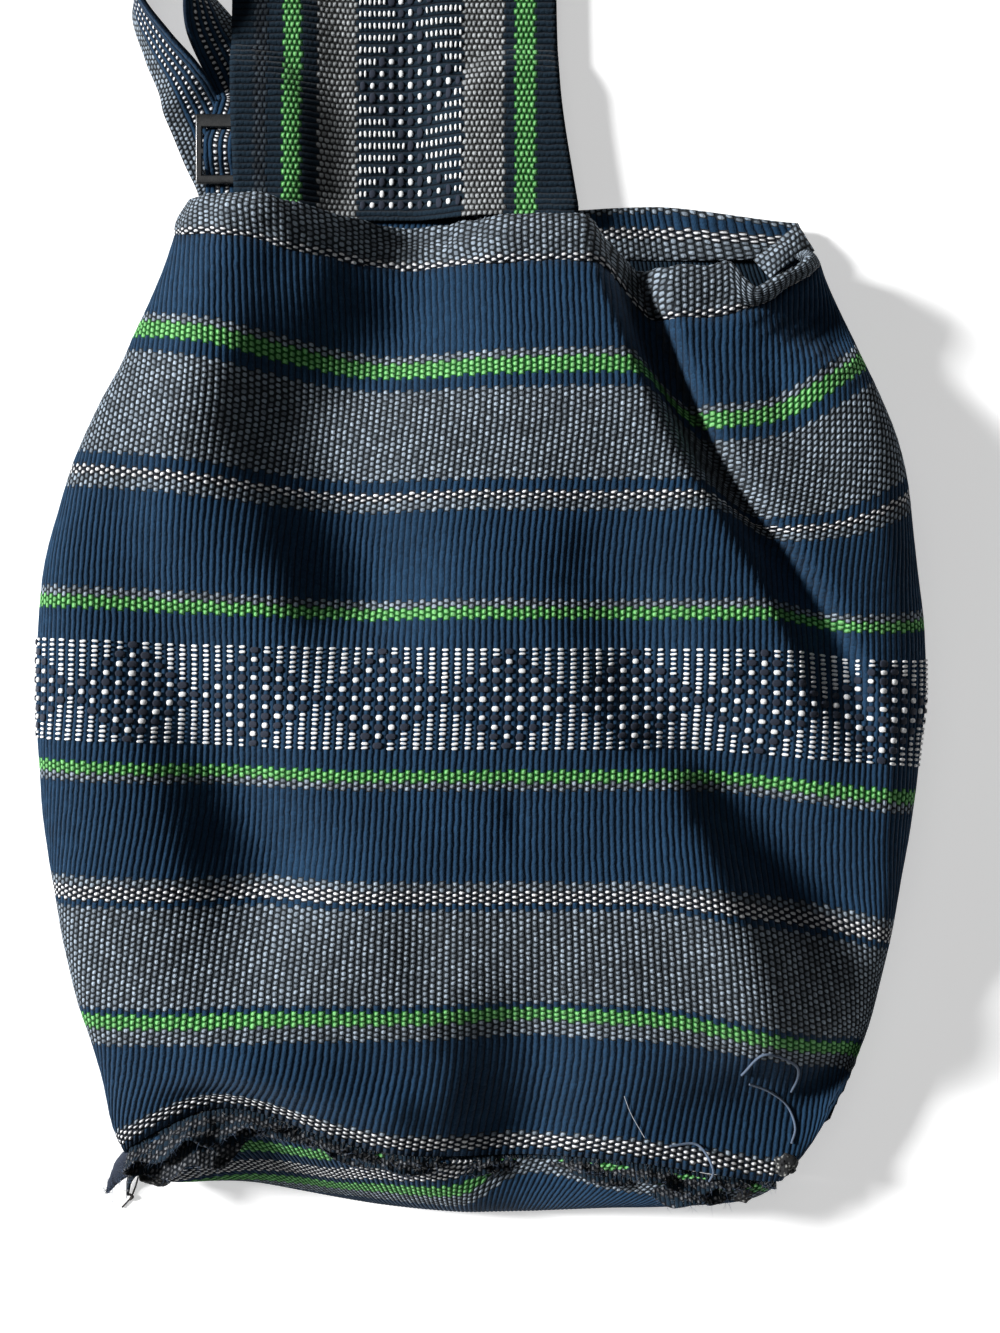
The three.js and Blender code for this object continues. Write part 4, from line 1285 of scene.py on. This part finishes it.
def lay_floats(name, places, across, along, kinds, yarns):
    """White and dark floats with their own slight differences of size and turn."""
    normal = unit(np.cross(across, along))
    count = len(places)
    size = np.stack(list(FLOAT_SIZES.values()), -1)[kinds.astype(int)]
    size = size * chance.uniform(FLOAT_SMALLEST, FLOAT_LARGEST, (count, 3))
    turn = chance.uniform(-FLOAT_TURN, FLOAT_TURN, count)[:, None]
    across, along = across + along * turn, along - across * turn
    template = float_template()
    corners = np.array([corner.co for corner in template.verts])
    axes = np.stack([across, along, normal], 1) * size[..., None]
    placed = places[:, None] + np.einsum("vk,nkj->nvj", corners, axes)
    pads = kinds == PAD
    white = joined_copies(f"{name}_white", template, placed[~pads], yarns["white"])
    dark = joined_copies(f"{name}_dark", template, placed[pads], yarns["dark"])
    template.free()
    return [white, dark]


def build_front_floats(yarns):
    ribs = np.arange(0.5, RIB_COUNT, 2) / RIB_COUNT
    middle = np.argmin(np.abs(front_row(0, rib_shares(0, ribs))[:, 0] - BROCADE_CENTRE_X))
    marks = brocade_marks(np.arange(len(ribs)) - middle)
    shares = ribs[(marks[:, 0] + middle).astype(int)]
    stations = BROCADE_HALF - (marks[:, 1] + 0.5) * 2 * BROCADE_HALF / BROCADE_ROWS
    stations += chance.uniform(-FLOAT_STRAY, FLOAT_STRAY, len(marks))
    beside = np.array([-0.5, 0, 0.5]) / RIB_COUNT
    here, onward = (
        np.array([front_row(v, rib_shares(v, u + beside)) for u, v in zip(shares, stations + step)])
        for step in (0, 1)
    )
    seen = here[:, 1, 2] > FLOAT_LOWEST
    here, onward, kinds = here[seen], onward[seen], marks[seen, 2]
    place = here[:, 1]
    across = unit(here[:, 2] - here[:, 0])
    along = unit(onward[:, 1] - place)
    normal = unit(np.cross(across, along))
    rise = FLOAT_RISE + unevenness(place, *PANEL_LUMPS)
    return lay_floats("front_floats", place + normal * rise[:, None], across, along, kinds, yarns)


def build_flap_floats(yarns):
    centre, pitch = FLAP_BROCADE["centre"], FLAP_BROCADE["pitch"]
    first = math.ceil((FLAP_ROOT + FLAP_BROCADE["start"] - centre) / pitch)
    last = math.floor((FLAP_END - FLAP_BROCADE["end"] - centre) / pitch)
    marks = brocade_marks(np.arange(first, last + 1))
    y = centre + marks[:, 0] * pitch
    x = mix(FLAP_BROCADE["left"], FLAP_BROCADE["right"], (marks[:, 1] + 0.5) / BROCADE_ROWS)
    height = flap_height(x, y) + FLOAT_RISE
    slope = flap_height(x + 0.5, y) - flap_height(x - 0.5, y)
    along = unit(np.stack([-np.ones_like(x), 0 * x, -slope], -1))
    across = np.tile([0.0, 1.0, 0.0], (len(x), 1))
    place = np.stack([x, y, height], -1)
    return lay_floats("flap_floats", place, across, along, marks[:, 2], yarns)


# Fuzz and fray of the raw cloth
FIBRE_CUTS = 3
FIBRE_RADIUS = 0.1
FIBRE_LOWEST = 0.2
FIBRE_SHORTEST = 0.25
FIBRE_STRAY = {"place": 0.35, "way": 0.6, "curl": 0.6}
FRAY = {"count": 260, "lean": (0, -0.5, 0.4), "longest": 3.2}
FUZZ = {"count": 900, "lean": (0, -0.2, 1), "longest": 1.6}
EAR_HAIRS = {"count": 260, "lean": (0, -0.2, 1), "longest": 6.5}


def fibre_template():
    """A thin three-sided spike one unit long, cut along its length so that it can bend."""
    shape = bmesh.new()
    bmesh.ops.create_cone(shape, segments=3, radius1=1, radius2=0.4, depth=1)
    bmesh.ops.translate(shape, verts=shape.verts[:], vec=(0, 0, 0.5))
    cut_upright(shape, FIBRE_CUTS)
    return shape


def build_fray(name, places, material, count, lean, longest):
    """Fibres that stand out from the places and curl."""
    template = fibre_template()
    corners = np.array([corner.co for corner in template.verts])
    start = places[chance.integers(0, len(places), count)]
    start = start + chance.normal(0, FIBRE_STRAY["place"], (count, 3))
    way = unit(np.array(lean) + chance.normal(0, FIBRE_STRAY["way"], (count, 3)))
    curl = chance.normal(0, FIBRE_STRAY["curl"], (count, 3))
    length = longest * chance.uniform(FIBRE_SHORTEST, 1, count)[:, None]
    side = unit(np.cross(way, chance.normal(0, 1, (count, 3))))
    other = np.cross(way, side)
    ring = side[:, None] * corners[None, :, :1] + other[:, None] * corners[None, :, 1:2]
    run = corners[None, :, 2:]
    path = (way * length)[:, None] * run + (curl * length)[:, None] * run**2
    placed = start[:, None] + ring * FIBRE_RADIUS + path
    placed[..., 2] = np.maximum(placed[..., 2], FIBRE_LOWEST)
    piece = joined_copies(name, template, placed, material)
    template.free()
    return piece


# Loose threads: diameter, yarn and line of places on the front; places off it have their own height
THREADS = {
    "yarn_loop_upper": (1.1, "navy", ((110, -160), (118, -149), (133, -156), (135, -163), (133, -170))),
    "yarn_loop_middle": (1.1, "navy", ((114, -165), (123, -169), (132, -177), (135, -186), (133, -192))),
    "yarn_loop_lower": (1.1, "navy", ((80, -191), (92, -191), (98, -200, 42), (97, -208, 34))),
    "thin_white_thread": (0.3, "white", ((60, -168), (63, -176), (69, -187))),
    "ear_thread": (
        0.8,
        "brown",
        ((-152, -211, 8), (-155, -219, 1.2), (-157, -223.5, 0.8), (-161, -228, 0.6)),
    ),
    "ear_thread_knot": (1.2, "brown", ((-157.6, -222, 0.9), (-156, -223, 1.5), (-157.4, -224.4, 0.9))),
}
THREAD_RISE = 0.7
THREAD_STEPS = 8
FRONT_SEEN = {"left": 0.05, "right": 0.95, "columns": 500, "step": 1.5}


def front_seen():
    """Points spread closely over the front cloth, apart from its sides."""
    shares = np.linspace(FRONT_SEEN["left"], FRONT_SEEN["right"], FRONT_SEEN["columns"])
    stations = np.arange(SEAM_STATION, HEM_STATION, FRONT_SEEN["step"])
    return np.concatenate([front_row(station, shares) for station in stations])


def lay_on_front(places, cloth):
    """Places lifted onto the front cloth, apart from those that have their own height."""
    points = []
    for place in places:
        if len(place) == 3:
            points.append(place)
        else:
            nearest = np.argmin(np.hypot(cloth[:, 0] - place[0], cloth[:, 1] - place[1]))
            points.append((*place, cloth[nearest, 2] + THREAD_RISE))
    return points


def build_thread(name, points, diameter, material):
    line = smooth_line(points, THREAD_STEPS) * MM
    curve = bpy.data.curves.new(name, "CURVE")
    curve.dimensions = "3D"
    curve.bevel_depth = diameter / 2 * MM
    curve.bevel_resolution = 2
    curve.use_fill_caps = True
    spline = curve.splines.new("POLY")
    spline.points.add(len(line) - 1)
    spline.points.foreach_set("co", np.column_stack([line, np.ones(len(line))]).ravel())
    return add_object(name, curve, material)


# Stage: the camera, the lights with their places in metres, and a pale floor
PHOTO_CAMERA = (7.6, 13.2, 850)
PHOTO_SPAN = 420 / 800
LIGHTS = {
    "window": {"place": (-7.2, 2.0, 4.1), "power": 1600, "size": 1.5},
    "fill": {"place": (-0.35, 0.7, 1.9), "power": 2.4, "size": 0.8},
    "low fill": {"place": (-0.4, -2.6, 0.8), "power": 8, "size": 1.2},
}
ROOM_LIGHT = 0.045
WHITE = (1, 1, 1, 1)
FLOOR_LOOK = {"Base Color": (0.8, 0.8, 0.8, 1), "Emission Color": WHITE, "Emission Strength": 0.5}


def add_to_stage(name, data):
    thing = bpy.data.objects.new(name, data)
    bpy.context.scene.collection.objects.link(thing)
    return thing


def add_light(name, place, power, size):
    light = bpy.data.lights.new(name, "AREA")
    light.energy = power
    light.size = size
    lamp = add_to_stage(name, light)
    lamp.location = place
    lamp.rotation_euler = (-Vector(place)).to_track_quat("-Z", "Y").to_euler()


def build_stage():
    scene = bpy.context.scene
    camera = bpy.data.cameras.new("camera")
    camera.sensor_fit = "HORIZONTAL"
    camera.sensor_width = 36
    camera.lens = camera.sensor_width / PHOTO_SPAN
    scene.camera = add_to_stage("camera", camera)
    scene.camera.location = Vector(PHOTO_CAMERA) * MM
    shape = bmesh.new()
    bmesh.ops.create_grid(shape, x_segments=1, y_segments=1, size=3)
    floor = add_to_stage("floor", smooth_mesh("floor", shape))
    paper, _, inputs = new_material("pale floor", roughness=0.9)
    for key, value in FLOOR_LOOK.items():
        inputs[key].default_value = value
    floor.data.materials.append(paper)
    for name, light in LIGHTS.items():
        add_light(name, **light)
    world = bpy.data.worlds.new("room")
    scene.world = world
    world.use_nodes = True
    world.node_tree.nodes["Background"].inputs["Color"].default_value = WHITE
    world.node_tree.nodes["Background"].inputs["Strength"].default_value = ROOM_LIGHT
    scene.view_settings.view_transform = "Standard"


build_stage()
front_cloth, front_cut = build_front()
front_hem, hem_weave = build_front_hem()
back_cloth, back_cut = build_back()
back_hem = build_back_hem()
mouth_corner = build_mouth_corner(hem_weave)
base_cloth, base_cut = build_base()
flap_cloth, flap_cut = build_flap()
seam_edges = build_flange()
webbing = woven_material("strap weave", STRAP_RIBS, high=STRAP_RIB_COUNT, unit_size=1, counted="Rib")
left_strap, left_cut = build_strap("left_strap_web", "strap_left", LEFT_STRAP, webbing)
right_strap, right_cut = build_strap("right_strap_web", "strap_right", RIGHT_STRAP, webbing)
black = plastic_material("black plastic", (0.012, 0.013, 0.014))
build_slider("left_slider_plate", "slider_left", LEFT_STRAP["x"][SLIDER_ROW], black)
build_slider("right_slider_plate", "slider_right", RIGHT_STRAP["x"][SLIDER_ROW], black)
float_yarns = {
    "white": yarn_material("white float yarn", (0.8, 0.81, 0.82)),
    "dark": yarn_material("dark float yarn", (0.009, 0.015, 0.032), 0.04),
}
front_floats = build_front_floats(float_yarns)
flap_floats = build_flap_floats(float_yarns)
navy_yarn = yarn_material("loose navy yarn", (0.05, 0.08, 0.14))
dull_yarn = yarn_material("raw yarn ends", (0.16, 0.16, 0.16))
thread_yarns = {
    "navy": yarn_material("blue thread", (0.1, 0.14, 0.21)),
    "white": yarn_material("white thread", (0.6, 0.62, 0.66)),
    "brown": yarn_material("brown thread", (0.022, 0.018, 0.017), 0.0),
}
for layer, points in seam_edges:
    build_fray(f"{layer.name}_fray", points[0], navy_yarn, **FRAY)
    build_fray(f"{layer.name}_fuzz", points.reshape(-1, 3), dull_yarn, **FUZZ)
ear, ear_line = build_ear(yarn_material("ear cloth", (0.016, 0.024, 0.045), 0.04))
build_fray("seam_ear_hairs", ear_line, navy_yarn, **EAR_HAIRS)
speckle = speckle_material("bunched raw cloth", (0.012, 0.013, 0.015), (0.45, 0.45, 0.43))
nubs = [build_nub(name, middle, size, speckle) for name, (middle, size) in NUBS.items()]
cloth_seen = front_seen()
threads = [
    build_thread(name, lay_on_front(places, cloth_seen), diameter, thread_yarns[colour])
    for name, (diameter, colour, places) in THREADS.items()
]
